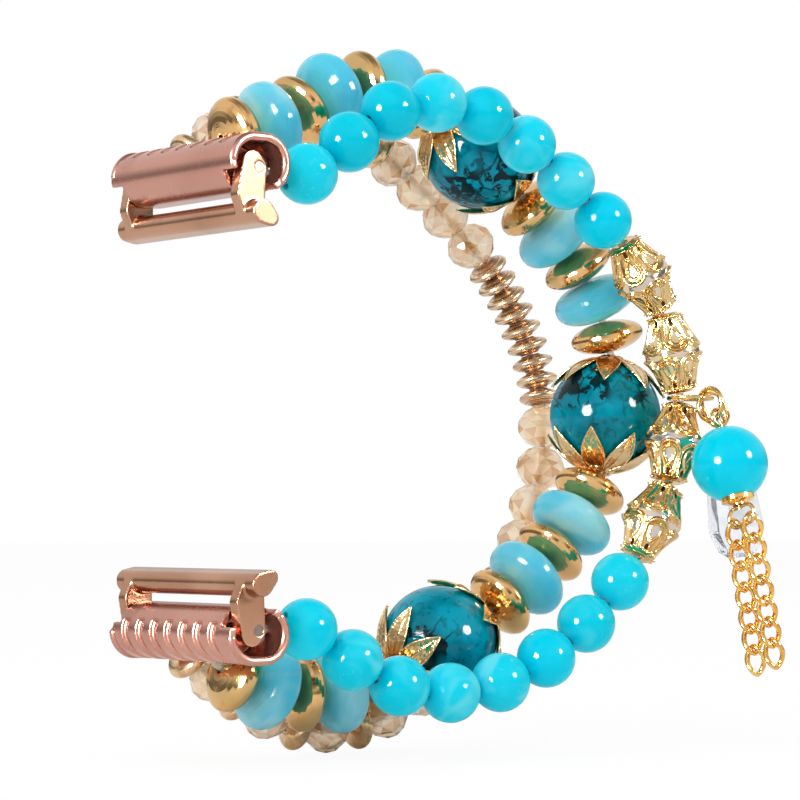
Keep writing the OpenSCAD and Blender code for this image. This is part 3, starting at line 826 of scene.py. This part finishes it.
def turned_axis(points: np.ndarray) -> tuple[np.ndarray, np.ndarray]:
    """The middle and the axis of a turned solid.

    Args:
        points: Its distinct points.

    Returns:
        Its middle, and the direction in which its spread stands alone.
    """
    centre = (points.max(0) + points.min(0)) / 2
    centre = points.mean(0) if len(points) < 400 else centre
    spread, directions = np.linalg.eigh(np.cov((points - points.mean(0)).T))
    lone = 0 if spread[1] - spread[0] > spread[2] - spread[1] else 2
    return centre, directions[:, lone]


def soften(piece: bpy.types.Object, voxel: float, passes: int) -> None:
    """Rounds the pressed edges of a CAD piece with modifiers, and leaves its mesh alone.

    Args:
        piece: The CAD piece.
        voxel: Size of the remesh in millimetres.
        passes: How often it is smoothed.
    """
    piece.modifiers.new("weld", "WELD").merge_threshold = WELD_GAP
    remesh = piece.modifiers.new("remesh", "REMESH")
    remesh.mode = "VOXEL"
    remesh.voxel_size = voxel * MM
    remesh.use_smooth_shade = True
    relax = piece.modifiers.new("relax", "SMOOTH")
    relax.factor = 0.5
    relax.iterations = passes


def dress(node: str, finish: Finish) -> bpy.types.Object:
    """Gives a CAD node a finish.

    Args:
        node: The node's name.
        finish: The finish.

    Returns:
        The node's object.
    """
    piece = frame["nodes"][node]
    piece.data.materials.clear()
    piece.data.materials.append(finish.material())
    return piece


@dataclass
class Connectors:
    """The two pressed rose-gold shells, their lugs and their hinge pins."""

    voxel: float = 0.11
    shell_passes: int = 4
    lug_passes: int = 6
    rim_x: float = 10.2
    shell_z: float = 21.9
    wall_r: float = 2.4
    flat: float = 0.6
    pin_drop: float = 0.4
    rim_r: float = 0.45
    rim_span: tuple[float, float] = (-38.0, 178.0)
    wall_turn: tuple[float, float] = (-80.0, 215.0)

    def rims(self, end: End) -> None:
        """Adds the thick round rim at both ends of a shell, open where the lug swings.

        Args:
            end: The end of the band that the shell is at.
        """
        turn = np.radians(np.linspace(*self.wall_turn, 90))
        y = self.wall_r * np.cos(turn) + self.flat * np.sign(np.cos(turn))
        z = self.wall_r * np.sin(turn)
        seen = np.degrees(np.arctan2(z + self.pin_drop, y))
        seen = np.where(seen < -90, seen + 360, seen)
        kept = (seen > self.rim_span[0]) & (seen < self.rim_span[1])
        y, z = y[kept], z[kept]
        up = 1 if end is End.TOP else -1
        spot = np.arange(len(y))
        taper = np.minimum(1.0, 0.35 + np.minimum(spot, spot[::-1]) / 4)
        mould = Mould()
        for x in (-self.rim_x, self.rim_x):
            path = np.stack([np.full(len(y), x), y, up * (self.shell_z + z)], 1)
            mould.tube(path, self.rim_r * taper, 14)
        piece = mould.pour(f"{end.value}_shell_rims", ROSE_GOLD)
        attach(piece, "band")

    def build(self) -> None:
        """Rounds the pressed edges and dresses each piece."""
        for end in End:
            self.rims(end)
            soften(dress(f"{end.value}_connector", ROSE_GOLD), self.voxel, self.shell_passes)
            soften(dress(f"{end.value}_lug", LUG_METAL), self.voxel, self.lug_passes)
            dress(f"{end.value}_hinge_pin", Steel())
            log.info("%s connector, lug and pin dressed", end.value)


@dataclass
class Cords:
    """The three stretch cords and their knots."""

    names: tuple[str, ...] = ("front_cord", "middle_cord", "back_cord")

    def build(self) -> None:
        """Makes a smooth copy of each cord, which stands for the plain one."""
        for name in self.names:
            mesh = frame["nodes"][name].data.copy()
            mesh.materials.clear()
            mesh.materials.append(Elastic().material())
            piece = put_in_scene(f"{name}_elastic", mesh)
            piece.modifiers.new("weld", "WELD").merge_threshold = WELD_GAP
            relax = piece.modifiers.new("relax", "SUBSURF")
            relax.levels = relax.render_levels = 1
            stand_in(piece, "band", name)
            log.info("%s laid", name)


@dataclass
class RoundBeads:
    """The sixteen jade beads of the front cord, and the charm's larger one."""

    radius: float = 2.95
    bore: float = 0.48
    charm_radius: float = 3.9
    charm_bore: float = 0.3
    count: int = 8
    seed: int = 7
    tones: list[Jade] = field(default_factory=lambda: [
        Jade("jade_bright", hue(0, 207, 234), hue(48, 220, 240), milk=0.4),
        Jade("jade_milky", hue(0, 204, 228), hue(92, 224, 238), milk=0.8),
        Jade("jade_deep", hue(0, 196, 220), hue(20, 212, 234), milk=0.5),
        Jade("jade_pale", hue(20, 210, 234), hue(110, 224, 238), milk=0.7),
    ])

    def bead(self, name: str, node: str, body: str, place: Matrix, finish: Jade,
             radius: float, bore: float) -> None:
        """Makes one drilled bead in place of its plain solid.

        Args:
            name: The piece's name.
            node: The CAD node that it stands for.
            body: The body that it rides on.
            place: Its place.
            finish: Its stone.
            radius: Its radius.
            bore: Its hole's radius.
        """
        mould = Mould()
        mould.grid(spun(bead_outline(radius, bore), 64), around=True, along=True)
        stand_in(mould.pour(name, finish, place=place), body, node)

    def build(self) -> None:
        """Makes all the jade beads."""
        rng = np.random.default_rng(self.seed)
        for end in End:
            for i in range(1, self.count + 1):
                node = f"round_bead_{end.value}_{i}"
                tone = self.tones[int(rng.integers(len(self.tones)))]
                self.bead(f"jade_bead_{end.value}_{i}", node, node, joint_place(f"{node}_spin"),
                          tone, self.radius, self.bore)
        low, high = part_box("charm_bead")
        middle = (low + high) / 2 / MM
        hang = Vector(joint("charm_swing")["pos_m"]) / MM - middle
        self.bead("charm_jade_bead", "charm_bead", "charm", along(middle, hang), self.tones[0],
                  self.charm_radius, self.charm_bore)
        log.info("seventeen jade beads strung")


@dataclass
class Lanterns:
    """The four filigree lanterns: one relief of wires, drops, granules and sunken windows each,
    with painted shade in the windows, between the lobes and beside the wires.
    """

    half_len: float = 4.1
    heights: tuple[float, ...] = (0.0, 0.12, 0.25, 0.5, 0.77, 0.93, 1.0)
    radii: tuple[float, ...] = (3.2, 3.1, 2.8, 2.3, 1.82, 1.64, 1.6)
    sunk: float = 0.3
    facet: float = 0.08
    lip: float = 0.2
    wire_high: float = 0.38
    cell_high: float = 0.2
    cell_deep: float = 0.1
    window_deep: float = 0.3
    knob_high: float = 0.46
    web_high: float = 0.06
    lobe_turn: float = 1.55
    lobe_low: float = 0.42
    lobe_wide: float = 1.28
    lobe_narrow: float = 0.5
    sectors: int = 6
    columns: int = 216
    rows: int = 168

    def radius(self, t: np.ndarray) -> np.ndarray:
        """The body's radius at a height from -1 to 1."""
        return np.interp(np.abs(t), self.heights, self.radii)

    def drop(self, tip: float, foot: float, width: float) -> np.ndarray:
        """The outline of a drop.

        Args:
            tip: Height of its pointed end.
            foot: Height of its round end.
            width: Half of its width.

        Returns:
            Closed rows of points.
        """
        a = np.linspace(0, 2 * np.pi, 41)
        share = (1 - np.cos(a)) / 2
        half = width * np.sin(a) * np.sin(a / 2) ** 1.1
        return np.stack([half, tip + (foot - tip) * share], 1)

    def lobe(self, top: float) -> np.ndarray:
        """The wire of one long lobe: two arms from the bead's end that meet in a round foot.

        Args:
            top: Length from the belly to the end.

        Returns:
            Rows of points, from the right arm's top round the foot to the left arm's.
        """
        turn, low = self.lobe_turn, self.lobe_low
        y = np.linspace(top, turn, 14)
        spread = (self.lobe_wide - self.lobe_narrow) * ((top - y) / (top - turn)) ** 0.8
        arm = np.stack([self.lobe_narrow + spread, y], 1)
        a = np.linspace(0, np.pi, 19)[1:-1]
        foot = np.stack([self.lobe_wide * np.cos(a), turn - (turn - low) * np.sin(a)], 1)
        return np.vstack([arm, foot, arm[::-1] * [-1, 1]])

    def relief(self, x: np.ndarray, y: np.ndarray, top: float) -> tuple[np.ndarray, np.ndarray]:
        """The relief of one sector of one half.

        Args:
            x: Arc length across the sector, 0 in its middle.
            y: Length along the bead, 0 at the belly.
            top: Length from the belly to the end.

        Returns:
            Height in millimetres, and the mask of ground, wire and painted shade.
        """
        lobe, cell = self.lobe(top), self.drop(top - 1.5, 0.95, 0.86)
        wire, edge = poly_distance(x, y, lobe), poly_distance(x, y, cell)
        in_lobe, in_cell = self.inside(x, y, lobe), self.inside(x, y, cell)
        shaded_window = np.hypot(x / 0.3, (y - top + 0.85) / 0.42)
        height = self.wire_high * ridge(wire, 0.2) + self.cell_high * ridge(edge, 0.13)
        height = np.maximum(height, self.granules(x, y, cell[8:-8], 0.4, 0.14) * 1.5)
        height += 0.14 * ridge((shaded_window - 1.2) * 0.36, 0.1) * in_lobe
        height -= self.window_deep * smooth_step(shaded_window, 1.0, 0.6)
        height -= self.cell_deep * in_cell * smooth_step(edge, 0.1, 0.25)
        knob = np.sqrt(np.clip(1 - ((np.abs(x) - 0.52) ** 2 + (y - top + 0.25) ** 2) / 0.07, 0, 1))
        height = np.maximum(height, self.knob_high * knob)
        valley = (1 - in_lobe) * smooth_step(y, 1.5, 2.1)
        web = in_lobe * (1 - in_cell) * smooth_step(y, 0.9, 1.5)
        height += self.web_high * web
        gold = np.clip(ridge(wire, 0.27) * 1.3 + ridge(edge, 0.2) * 1.2 + web + valley + knob, 0, 1)
        # Painted shade: a dark line just outside each wire, dark windows, and dark gaps between the
        # lobes near the ends.
        line = ridge(wire - 0.3, 0.07) * smooth_step(y, 0.1, 0.4)
        valley_shade = 0.92 * valley * smooth_step(wire, 0.1, 0.3)
        dark = np.maximum(smooth_step(shaded_window, 1.05, 0.75), valley_shade)
        hollow = np.maximum(0.6 * gold, np.maximum(dark, 0.86 * line))
        return height, np.clip(hollow, 0, 1)

    @staticmethod
    def inside(x: np.ndarray, y: np.ndarray, path: np.ndarray) -> np.ndarray:
        """Tells which points lie inside an outline that is the same on both sides of x = 0.

        Args:
            x: First coordinates.
            y: Second coordinates.
            path: The closed outline.

        Returns:
            1 inside, else 0.
        """
        low, high = path[:, 1].min(), path[:, 1].max()
        right = path[: len(path) // 2 + 1]
        order = np.argsort(right[:, 1])
        width = np.interp(y, right[order, 1], np.abs(right[order, 0]))
        return ((np.abs(x) < width) & (y > low) & (y < high)).astype(float)

    @staticmethod
    def granules(x: np.ndarray, y: np.ndarray, path: np.ndarray, gap: float,
                 size: float) -> np.ndarray:
        """A row of round grains along an outline.

        Args:
            x: First coordinates.
            y: Second coordinates.
            path: The outline.
            gap: From grain to grain.
            size: Radius of a grain.

        Returns:
            The height that the grains add.
        """
        steps = np.hypot(*np.diff(path, axis=0).T)
        length = np.concatenate([[0], np.cumsum(steps)])
        height = np.zeros(x.shape)
        for spot in np.arange(0, length[-1], gap):
            px, py = (np.interp(spot, length, path[:, k]) for k in (0, 1))
            away = np.hypot(x - px, y - py) / size
            height = np.maximum(height, size * 1.1 * np.sqrt(np.clip(1 - away * away, 0, 1)))
        return height

    def surface(self) -> tuple[np.ndarray, np.ndarray]:
        """Shapes the whole bead.

        Returns:
            Its points, rows by columns by 3, and their mask of tone and painted shade.
        """
        even = np.linspace(-1, 1, self.rows)
        t = (np.sin(even * math.pi / 2) * 0.35 + even * 0.65)[:, None]
        angle = np.linspace(0, 2 * np.pi, self.columns, endpoint=False)[None]
        base = self.radius(t)
        y = t * self.half_len
        height = np.zeros((self.rows, self.columns))
        hollow = np.zeros_like(height)
        pitch = 2 * np.pi / self.sectors
        slope = np.hypot(1.0, np.gradient(self.radius(t[:, 0]), y[:, 0]))[:, None]
        run = np.cumsum(np.abs(np.gradient(y[:, 0])) * slope[:, 0])[:, None]
        run = run - run[self.rows // 2]
        for half, shift in ((1, 0.0), (-1, 0.5)):
            local = (angle / pitch + shift + 0.5) % 1 - 0.5
            x = local * pitch * base
            part = half * t[:, 0] >= 0
            top = float(abs(run[-1 if half > 0 else 0, 0]))
            up = (half * run * np.ones_like(angle))[part]
            height[part], hollow[part] = self.relief(x[part], up, top)
        inward = 1 - np.abs(t)
        facet = self.facet * (np.cos(self.sectors * angle) - 1) * smooth_step(inward, 0.1, 0.6)
        lip = self.lip * ridge(np.abs(np.abs(y) - (self.half_len - 0.25)), 0.16)
        radius = (base - self.sunk) + height * smooth_step(inward, 0.0, 0.08) + facet + lip
        radius = np.minimum(radius, self.radii[0] * 1.05)
        points = np.stack([radius * np.cos(angle), radius * np.sin(angle), y + 0 * angle], -1)
        return points, hollow

    def build(self) -> None:
        """Makes the four lanterns."""
        points, hollow = self.surface()
        end = self.half_len
        upper = [(1.3, end + 0.06), (0.6, end + 0.04), (0.48, end - 0.1)]
        hole = spun(np.array(upper + [(r, -z) for r, z in reversed(upper)]), self.columns)
        marks = np.concatenate([hollow, np.full(hole.shape[:2], 0.6)])
        for i in range(1, 5):
            name = f"lantern_bead_{i}"
            mould = Mould()
            mould.grid(np.concatenate([points, hole]), around=True, along=True, mark=marks)
            place = joint_place(f"{name}_spin") @ Matrix.Rotation(0.35 * i, 4, "Z")
            piece = mould.pour(f"filigree_lantern_{i}", Filigree(), place=place)
            stand_in(piece, name, name)
        log.info("four filigree lanterns made")


@dataclass
class Turquoises:
    """The three large turquoise beads and their pairs of petal caps."""

    radius: float = 5.85
    bore: float = 0.48
    petals: int = 8
    reach: float = 5.4
    width: float = 1.2
    start: float = 1.15
    thick: float = 0.26
    curl: float = 0.34
    rim: float = 0.14
    midrib: float = 0.07
    dish: float = 0.1
    hub: float = 1.75
    granule: float = 0.07
    rows: int = 40
    columns: int = 25

    def petal(self, mould: Mould, turn: float) -> None:
        """Adds one embossed petal.

        Args:
            mould: Where it goes.
            turn: Its angle round the bead's hole.
        """
        s = np.linspace(0.0, 1.0, self.rows)[:, None]
        t = np.linspace(-1, 1, self.columns)[None]
        half = self.width * np.sin(np.pi * np.clip(0.2 + 0.8 * s ** 1.1, 0, 1)) ** 0.92
        half = np.maximum(half, 0.02)
        arc = self.start + (self.radius * math.asin(self.reach / self.radius) - self.start) * s
        x = t * half
        edge = (1 - np.abs(t)) * half
        tip = (1 - s) * self.reach * 0.6
        rim = ridge(np.minimum(edge, tip) - 0.1, 0.12)
        midrib = (ridge(np.abs(x), 0.09) * smooth_step(s, 0.05, 0.3)
                  * smooth_step(1 - s, 0.08, 0.3))
        lift = 0.04 + self.curl * s ** 3 + self.rim * rim + self.midrib * midrib
        dish = -self.dish * (1 - t ** 2)
        height = self.radius + 0.04 + self.thick + lift + dish
        # Painted shade: the petal darkens away from its raised rim, most towards the hub.
        hollow = np.clip((1 - rim) * (0.1 + 0.5 * (1 - s) ** 2), 0, 1)
        cos, sin = math.cos(turn), math.sin(turn)
        polar, side = arc / self.radius, x / self.radius
        sheets = []
        for r in (height, height - self.thick * 0.8):
            px = r * np.sin(polar) * np.cos(side)
            py = r * np.sin(side)
            pz = r * np.cos(polar) * np.cos(side)
            sheets.append(np.stack([px * cos - py * sin, px * sin + py * cos, pz], -1))
        loop = np.concatenate([sheets[0], sheets[1][:, ::-1]], axis=1)
        marks = np.concatenate([hollow, hollow[:, ::-1]], axis=1)
        mould.grid(loop, around=True, mark=marks)
        mould.fan(loop[0], True)
        mould.fan(loop[-1])

    def cap(self, mould: Mould, pole: Pole) -> None:
        """Adds one cap of petals round a granulated hub.

        Args:
            mould: Where it goes.
            pole: The end of the bead that it sits on.
        """
        flip, shift = pole.value
        made = Mould()
        for k in range(self.petals):
            self.petal(made, 2 * math.pi * (k + shift) / self.petals)
        a = np.linspace(0, 1, 30)
        rise = 0.52 * np.sin(np.pi * np.clip(a * 0.75, 0, 0.5))
        outline = np.stack([self.hub - (self.hub - 0.5) * a, self.radius + 0.02 + rise], 1)
        outline = np.vstack([[self.hub - 0.1, self.radius - 0.26], outline,
                             [0.5, self.radius + 0.1]])
        dome = spun(outline)
        round_it = np.linspace(0, 2 * np.pi, dome.shape[1], endpoint=False)[None]
        along_it = np.linspace(0, 3 * np.pi, len(outline))[:, None]
        dome[..., 2] += self.granule * np.cos(12 * round_it) * np.sin(along_it)
        # The hub gets a little painted shade.
        made.grid(dome, around=True, along=True, mark=np.full(dome.shape[:2], 0.3))
        points = np.vstack(made.points) * [1, 1, flip]
        first = mould.add(points, np.concatenate(made.marks))
        for face in made.faces:
            order = face if flip > 0 else reversed(face)
            mould.faces.append(tuple(first + i for i in order))

    def build(self) -> None:
        """Makes the beads and their caps."""
        for where in ("top", "back", "bottom"):
            body = f"turquoise_{where}"
            place = joint_place(f"{body}_spin")
            stone, caps = Mould(), Mould()
            stone.grid(spun(bead_outline(self.radius, self.bore, 64), 96), around=True, along=True)
            stand_in(stone.pour(f"turquoise_stone_{where}", Turquoise(), place=place),
                     body, f"turquoise_bead_{where}")
            for pole in Pole:
                self.cap(caps, pole)
            stand_in(caps.pour(f"petal_caps_{where}", PETAL_GOLD, place=place),
                     body, f"bead_caps_{where}")
            log.info("turquoise bead and petal caps %s made", where)


@dataclass
class Rondelles:
    """Opal rondelles and gold saucers of the middle cord, and the discs of the back cord."""

    rim_radius: float = 2.3
    rim_thick: float = 1.8
    hub_share: float = 0.44
    sides: int = 56

    def build(self) -> None:
        """Dresses the turned pieces."""
        dress("opal_rondelles", Opal())
        dress("gold_saucers", SAUCER_GOLD)
        dress("spacer_discs", ANTIQUE_GOLD)
        self.rims()
        log.info("rondelles, saucers and discs dressed")

    def rims(self) -> None:
        """Makes the small discs, each with a turned line on either side of its sharp rim."""
        t, r, hub = self.rim_thick / 2, self.rim_radius, self.hub_share * self.rim_radius
        # The third number of each outline point is painted shade: strongest in the turned lines,
        # less at the hub's edge, the bore and just inside the rim.
        half = [(0.48, t - 0.1, 0.4), (0.6, t, 0.2), (hub, t, 0.6), (hub + 0.08, t * 0.84, 0.9),
                (r * 0.7, t * 0.66, 0.0), (r * 0.74, t * 0.52, 0.9), (r * 0.78, t * 0.56, 0.0),
                (r * 0.94, t * 0.3, 0.0), (r * 0.97, t * 0.12, 0.3), (r, 0.0, 0.0)]
        outline = np.array(half + [(a, -b, c) for a, b, c in reversed(half[:-1])])
        body = spun(outline[:, :2], self.sides)
        marks = np.repeat(outline[:, 2], self.sides)
        group = Mould()
        for solid in islands("small_discs"):
            points = placed(body, along(*turned_axis(solid)))
            group.grid(points, around=True, along=True, mark=marks)
        stand_in(group.pour("rimmed_discs", DISC_BRONZE), "band", "small_discs")


@dataclass
class Crystals:
    """The faceted champagne beads of the back cord."""

    radius: float = 2.7
    half_len: float = 2.25
    bore: float = 0.48
    sides: int = 10
    reflection_levels: tuple[float, ...] = (0.0, 0.12, 0.35, 0.65, 1.0)
    shares: tuple[float, ...] = (0.36, 0.22, 0.2, 0.13, 0.09)
    seed: int = 11

    def facets(self) -> Mould:
        """Cuts one bead.

        Returns:
            Its facets, about its own Z.
        """
        mould = Mould()
        h, r, n = self.half_len, self.radius, self.sides
        rings = [(-h, 0.34 * r, 0.5), (-0.74 * h, 0.7 * r, 0.0), (-0.3 * h, 0.95 * r, 0.5),
                 (0.0, 1.0 * r, 0.0), (0.3 * h, 0.95 * r, 0.5), (0.74 * h, 0.7 * r, 0.0),
                 (h, 0.34 * r, 0.5)]
        points = []
        for z, radius, shift in rings:
            a = (np.arange(n) + shift) * 2 * np.pi / n
            points.append(np.stack([radius * np.cos(a), radius * np.sin(a), z + 0 * a], -1))
        bore = [spun(np.array([[self.bore, z]]), n)[0] for z in (h, -h)]
        first = mould.add(np.vstack(points + bore), 0.0)
        steps = [(j, (j + 1) % n) for j in range(n)]
        for k, (lower, upper) in enumerate(zip(rings[:-1], rings[1:])):
            a, b = first + k * n, first + (k + 1) * n
            for j, i in steps:
                if upper[2] > lower[2]:
                    mould.faces += [(a + j, a + i, b + j), (a + i, b + i, b + j)]
                else:
                    mould.faces += [(a + j, b + i, b + j), (a + j, a + i, b + i)]
        top, hole_top, hole_low = (first + k * n for k in (6, 7, 8))
        for j, i in steps:
            for a, b in ((top, hole_top), (hole_top, hole_low), (hole_low, first)):
                mould.faces.append((a + j, a + i, b + i, b + j))
        return mould

    def build(self) -> None:
        """Makes the group of crystals in place of the plain ones."""
        one = self.facets()
        points = np.vstack(one.points)
        rng = np.random.default_rng(self.seed)
        group = Mould()
        for k, solid in enumerate(islands("crystal_beads")):
            place = along(*turned_axis(solid)) @ Matrix.Rotation(0.7 * k, 4, "Z")
            first = group.add(placed(points, place), 0.0)
            group.faces += [tuple(first + i for i in f) for f in one.faces]
        piece = group.pour("faceted_crystals", CHAMPAGNE, smooth=False)
        # Each facet gets a random level of painted reflection; higher levels lean towards the
        # glass's third colour.
        tones = rng.choice(self.reflection_levels, len(piece.data.polygons), p=self.shares)
        layer = piece.data.attributes.new(TONE_AND_PAINTED_LIGHT, "FLOAT", "FACE")
        layer.data.foreach_set("value", tones.astype(np.float32))
        stand_in(piece, "band", "crystal_beads")
        log.info("faceted crystals cut")


@dataclass
class Charm:
    """Rings, head pin, cap, chains and clear drop of the charm."""

    link_len: float = 3.4
    link_w: float = 2.25
    wire: float = 0.54
    twist: float = 52.0
    face: tuple[float, float, float] = (0.72, -0.69, 0.0)

    def curb_link(self, mould: Mould, centre: np.ndarray, ahead: np.ndarray) -> None:
        """Adds one twisted link of a curb chain.

        Args:
            mould: Where it goes.
            centre: The link's middle.
            ahead: The direction of the chain.
        """
        a = np.linspace(0, 2 * np.pi, 40, endpoint=False)
        half_w, half_l = (self.link_w - self.wire) / 2, (self.link_len - self.wire) / 2
        lean = math.radians(self.twist) * np.sin(a)
        wide = half_w * np.cos(a)
        across = np.cross(ahead, self.face)
        across /= np.linalg.norm(across)
        out = np.cross(across, ahead)
        path = (centre + np.outer(wide * np.cos(lean), across)
                + np.outer(wide * np.sin(lean), out) + np.outer(half_l * np.sin(a), ahead))
        mould.tube(path, self.wire / 2, 10, closed=True)

    def chain(self, side: Side) -> None:
        """Makes one tassel chain in place of its plain links.

        Args:
            side: The side of the tassel that it hangs on.
        """
        node = f"tassel_chain_{side.value}"
        middles = np.array([solid.mean(0) for solid in islands(node)])
        middles = middles[np.argsort(-middles[:, 2])]
        ahead = middles[-1] - middles[0]
        ahead /= np.linalg.norm(ahead)
        mould = Mould()
        for middle in middles:
            self.curb_link(mould, middle, ahead)
        piece = mould.pour(f"curb_chain_{side.value}", YELLOW_GOLD)
        stand_in(piece, f"chain_{side.value}", node)

    def build(self) -> None:
        """Dresses the charm's pieces and makes the chains."""
        for node in ("jump_ring", "hanging_link", "head_pin"):
            dress(node, PALE_GOLD)
        for node in ("charm_cap", "drop_bail"):
            dress(node, YELLOW_GOLD)
        for side in Side:
            self.chain(side)
        dress("crystal_drop", CLEAR_GLASS)
        log.info("charm dressed")


@dataclass
class Studio:
    """Camera, floor and soft light."""

    azimuth: float = 52.851
    elevation: float = -2.2883
    reach: float = 299.876
    shift_right: float = 6.5072
    shift_up: float = 0.64819
    focal_px: float = 3015.126
    picture_px: float = 800.0
    sensor: float = 36.0
    ahead: float = 17.8
    aside: float = -2.45
    floor_reach: float = 2500.0
    bands: tuple[tuple[float, float], ...] = (
        (0.0, 0.95), (0.36, 0.8), (0.47, 0.1), (0.55, 0.25), (0.66, 1.0), (0.86, 1.0),
        (0.97, 0.35))

    def axes(self) -> tuple[Vector, Vector, Vector]:
        """Works out how the camera stands.

        Returns:
            Its right, up and back directions.
        """
        a, e = math.radians(self.azimuth), math.radians(self.elevation)
        back = Vector((math.sin(a) * math.cos(e), -math.cos(a) * math.cos(e), math.sin(e)))
        right = Vector((math.cos(a), math.sin(a), 0.0))
        return right, back.cross(right), back

    def camera(self) -> None:
        """Puts the camera where the photograph was taken from."""
        right, up, back = self.axes()
        data = bpy.data.cameras.new("camera")
        data.sensor_width = self.sensor
        data.lens = self.focal_px / self.picture_px * self.sensor
        data.clip_start, data.clip_end = 0.01, 20.0
        camera = put_in_scene("camera", data)
        spot = (right * self.shift_right + up * self.shift_up + back * self.reach
                + Vector((self.aside, self.ahead, 0)))
        turn = Matrix((right, up, back)).transposed().to_4x4()
        camera.matrix_world = Matrix.Translation(spot * MM) @ turn
        bpy.context.scene.camera = camera

    def lamp(self, name: str, direction: Vector, distance: float, size: float, power: float,
             highlight_only: bool) -> None:
        """Adds a round soft lamp that faces the object.

        Args:
            name: Its name.
            direction: From the object towards it.
            distance: In metres.
            size: Its diameter in metres.
            power: In watts.
            highlight_only: It shows only in reflections; otherwise only as light.
        """
        data = bpy.data.lights.new(name, "AREA")
        data.shape = "DISK"
        data.size = size
        data.energy = power
        lamp = put_in_scene(name, data)
        middle = Vector((self.aside * MM, 0.028, 0.0))
        lamp.location = middle + direction.normalized() * distance
        lamp.rotation_mode = "QUATERNION"
        lamp.rotation_quaternion = direction.to_track_quat("Z", "Y")
        lamp.visible_camera = False
        lamp.visible_diffuse = not highlight_only
        lamp.visible_glossy = highlight_only
        lamp.visible_transmission = False

    def light(self) -> None:
        """Adds two small highlights and a soft key."""
        right, up, back = self.axes()
        self.lamp("highlight_left", right * -0.652 + up * 0.177 + back * 0.737,
                  distance=0.6, size=0.24, power=14.0, highlight_only=True)
        self.lamp("highlight_right", right * 0.824 + up * 0.387 + back * 0.414,
                  distance=0.6, size=0.18, power=7.0, highlight_only=True)
        self.lamp("soft_key", right * -0.3 + up * 0.9 + back * 0.6,
                  distance=0.8, size=0.6, power=2.5, highlight_only=False)

    def surroundings(self) -> None:
        """Makes the world: white behind the object, and bands of light and dark round it."""
        world = bpy.data.worlds.new("surroundings")
        bpy.context.scene.world = world
        world.use_nodes = True
        recipe = Recipe(world.node_tree)
        heading = recipe.node("ShaderNodeTexCoord").outputs["Generated"]
        parts = recipe.node("ShaderNodeSeparateXYZ", None, {0: heading})
        rise = Val(recipe, parts.outputs[2]) * 0.5 + 0.5
        stops = [(place, (grey, grey, grey)) for place, grey in self.bands]
        ramp = recipe.node("ShaderNodeValToRGB", {"stops": stops}, {0: rise})
        path = recipe.node("ShaderNodeLightPath").outputs
        seen = Val(recipe, path["Is Camera Ray"]).most(Val(recipe, path["Is Transmission Ray"]))
        glossy = Val(recipe, path["Is Glossy Ray"])
        round_it = recipe.blend(glossy, (0.82, 0.82, 0.82), ramp.outputs[0])
        sky = recipe.node("ShaderNodeBackground", None,
                          {"Color": recipe.blend(seen, round_it, WHITE), "Strength": 1.0})
        recipe.node("ShaderNodeOutputWorld", None, {"Surface": sky.outputs[0]})

    def floor(self) -> None:
        """Lays the white floor under the lowest bead."""
        level = CAD_BOX[0].z / MM - 0.02
        side = np.linspace(-self.floor_reach, self.floor_reach, 9)
        x, y = np.meshgrid(side, side)
        mould = Mould()
        mould.grid(np.stack([x, y, level + 0 * x], -1))
        mould.pour("floor", WhiteFloor())

    def build(self) -> None:
        """Sets up the whole studio."""
        self.camera()
        self.light()
        self.surroundings()
        self.floor()
        bpy.context.scene.view_settings.view_transform = "Standard"
        log.info("studio set up")


def main() -> None:
    """Builds the band's looks in order."""
    logging.basicConfig(level=logging.INFO, format="%(name)s: %(message)s")
    for part in (Studio(), Cords(), Connectors(), RoundBeads(), Lanterns(), Turquoises(),
                 Rondelles(), Crystals(), Charm()):
        part.build()


if __name__ == "__main__":
    main()
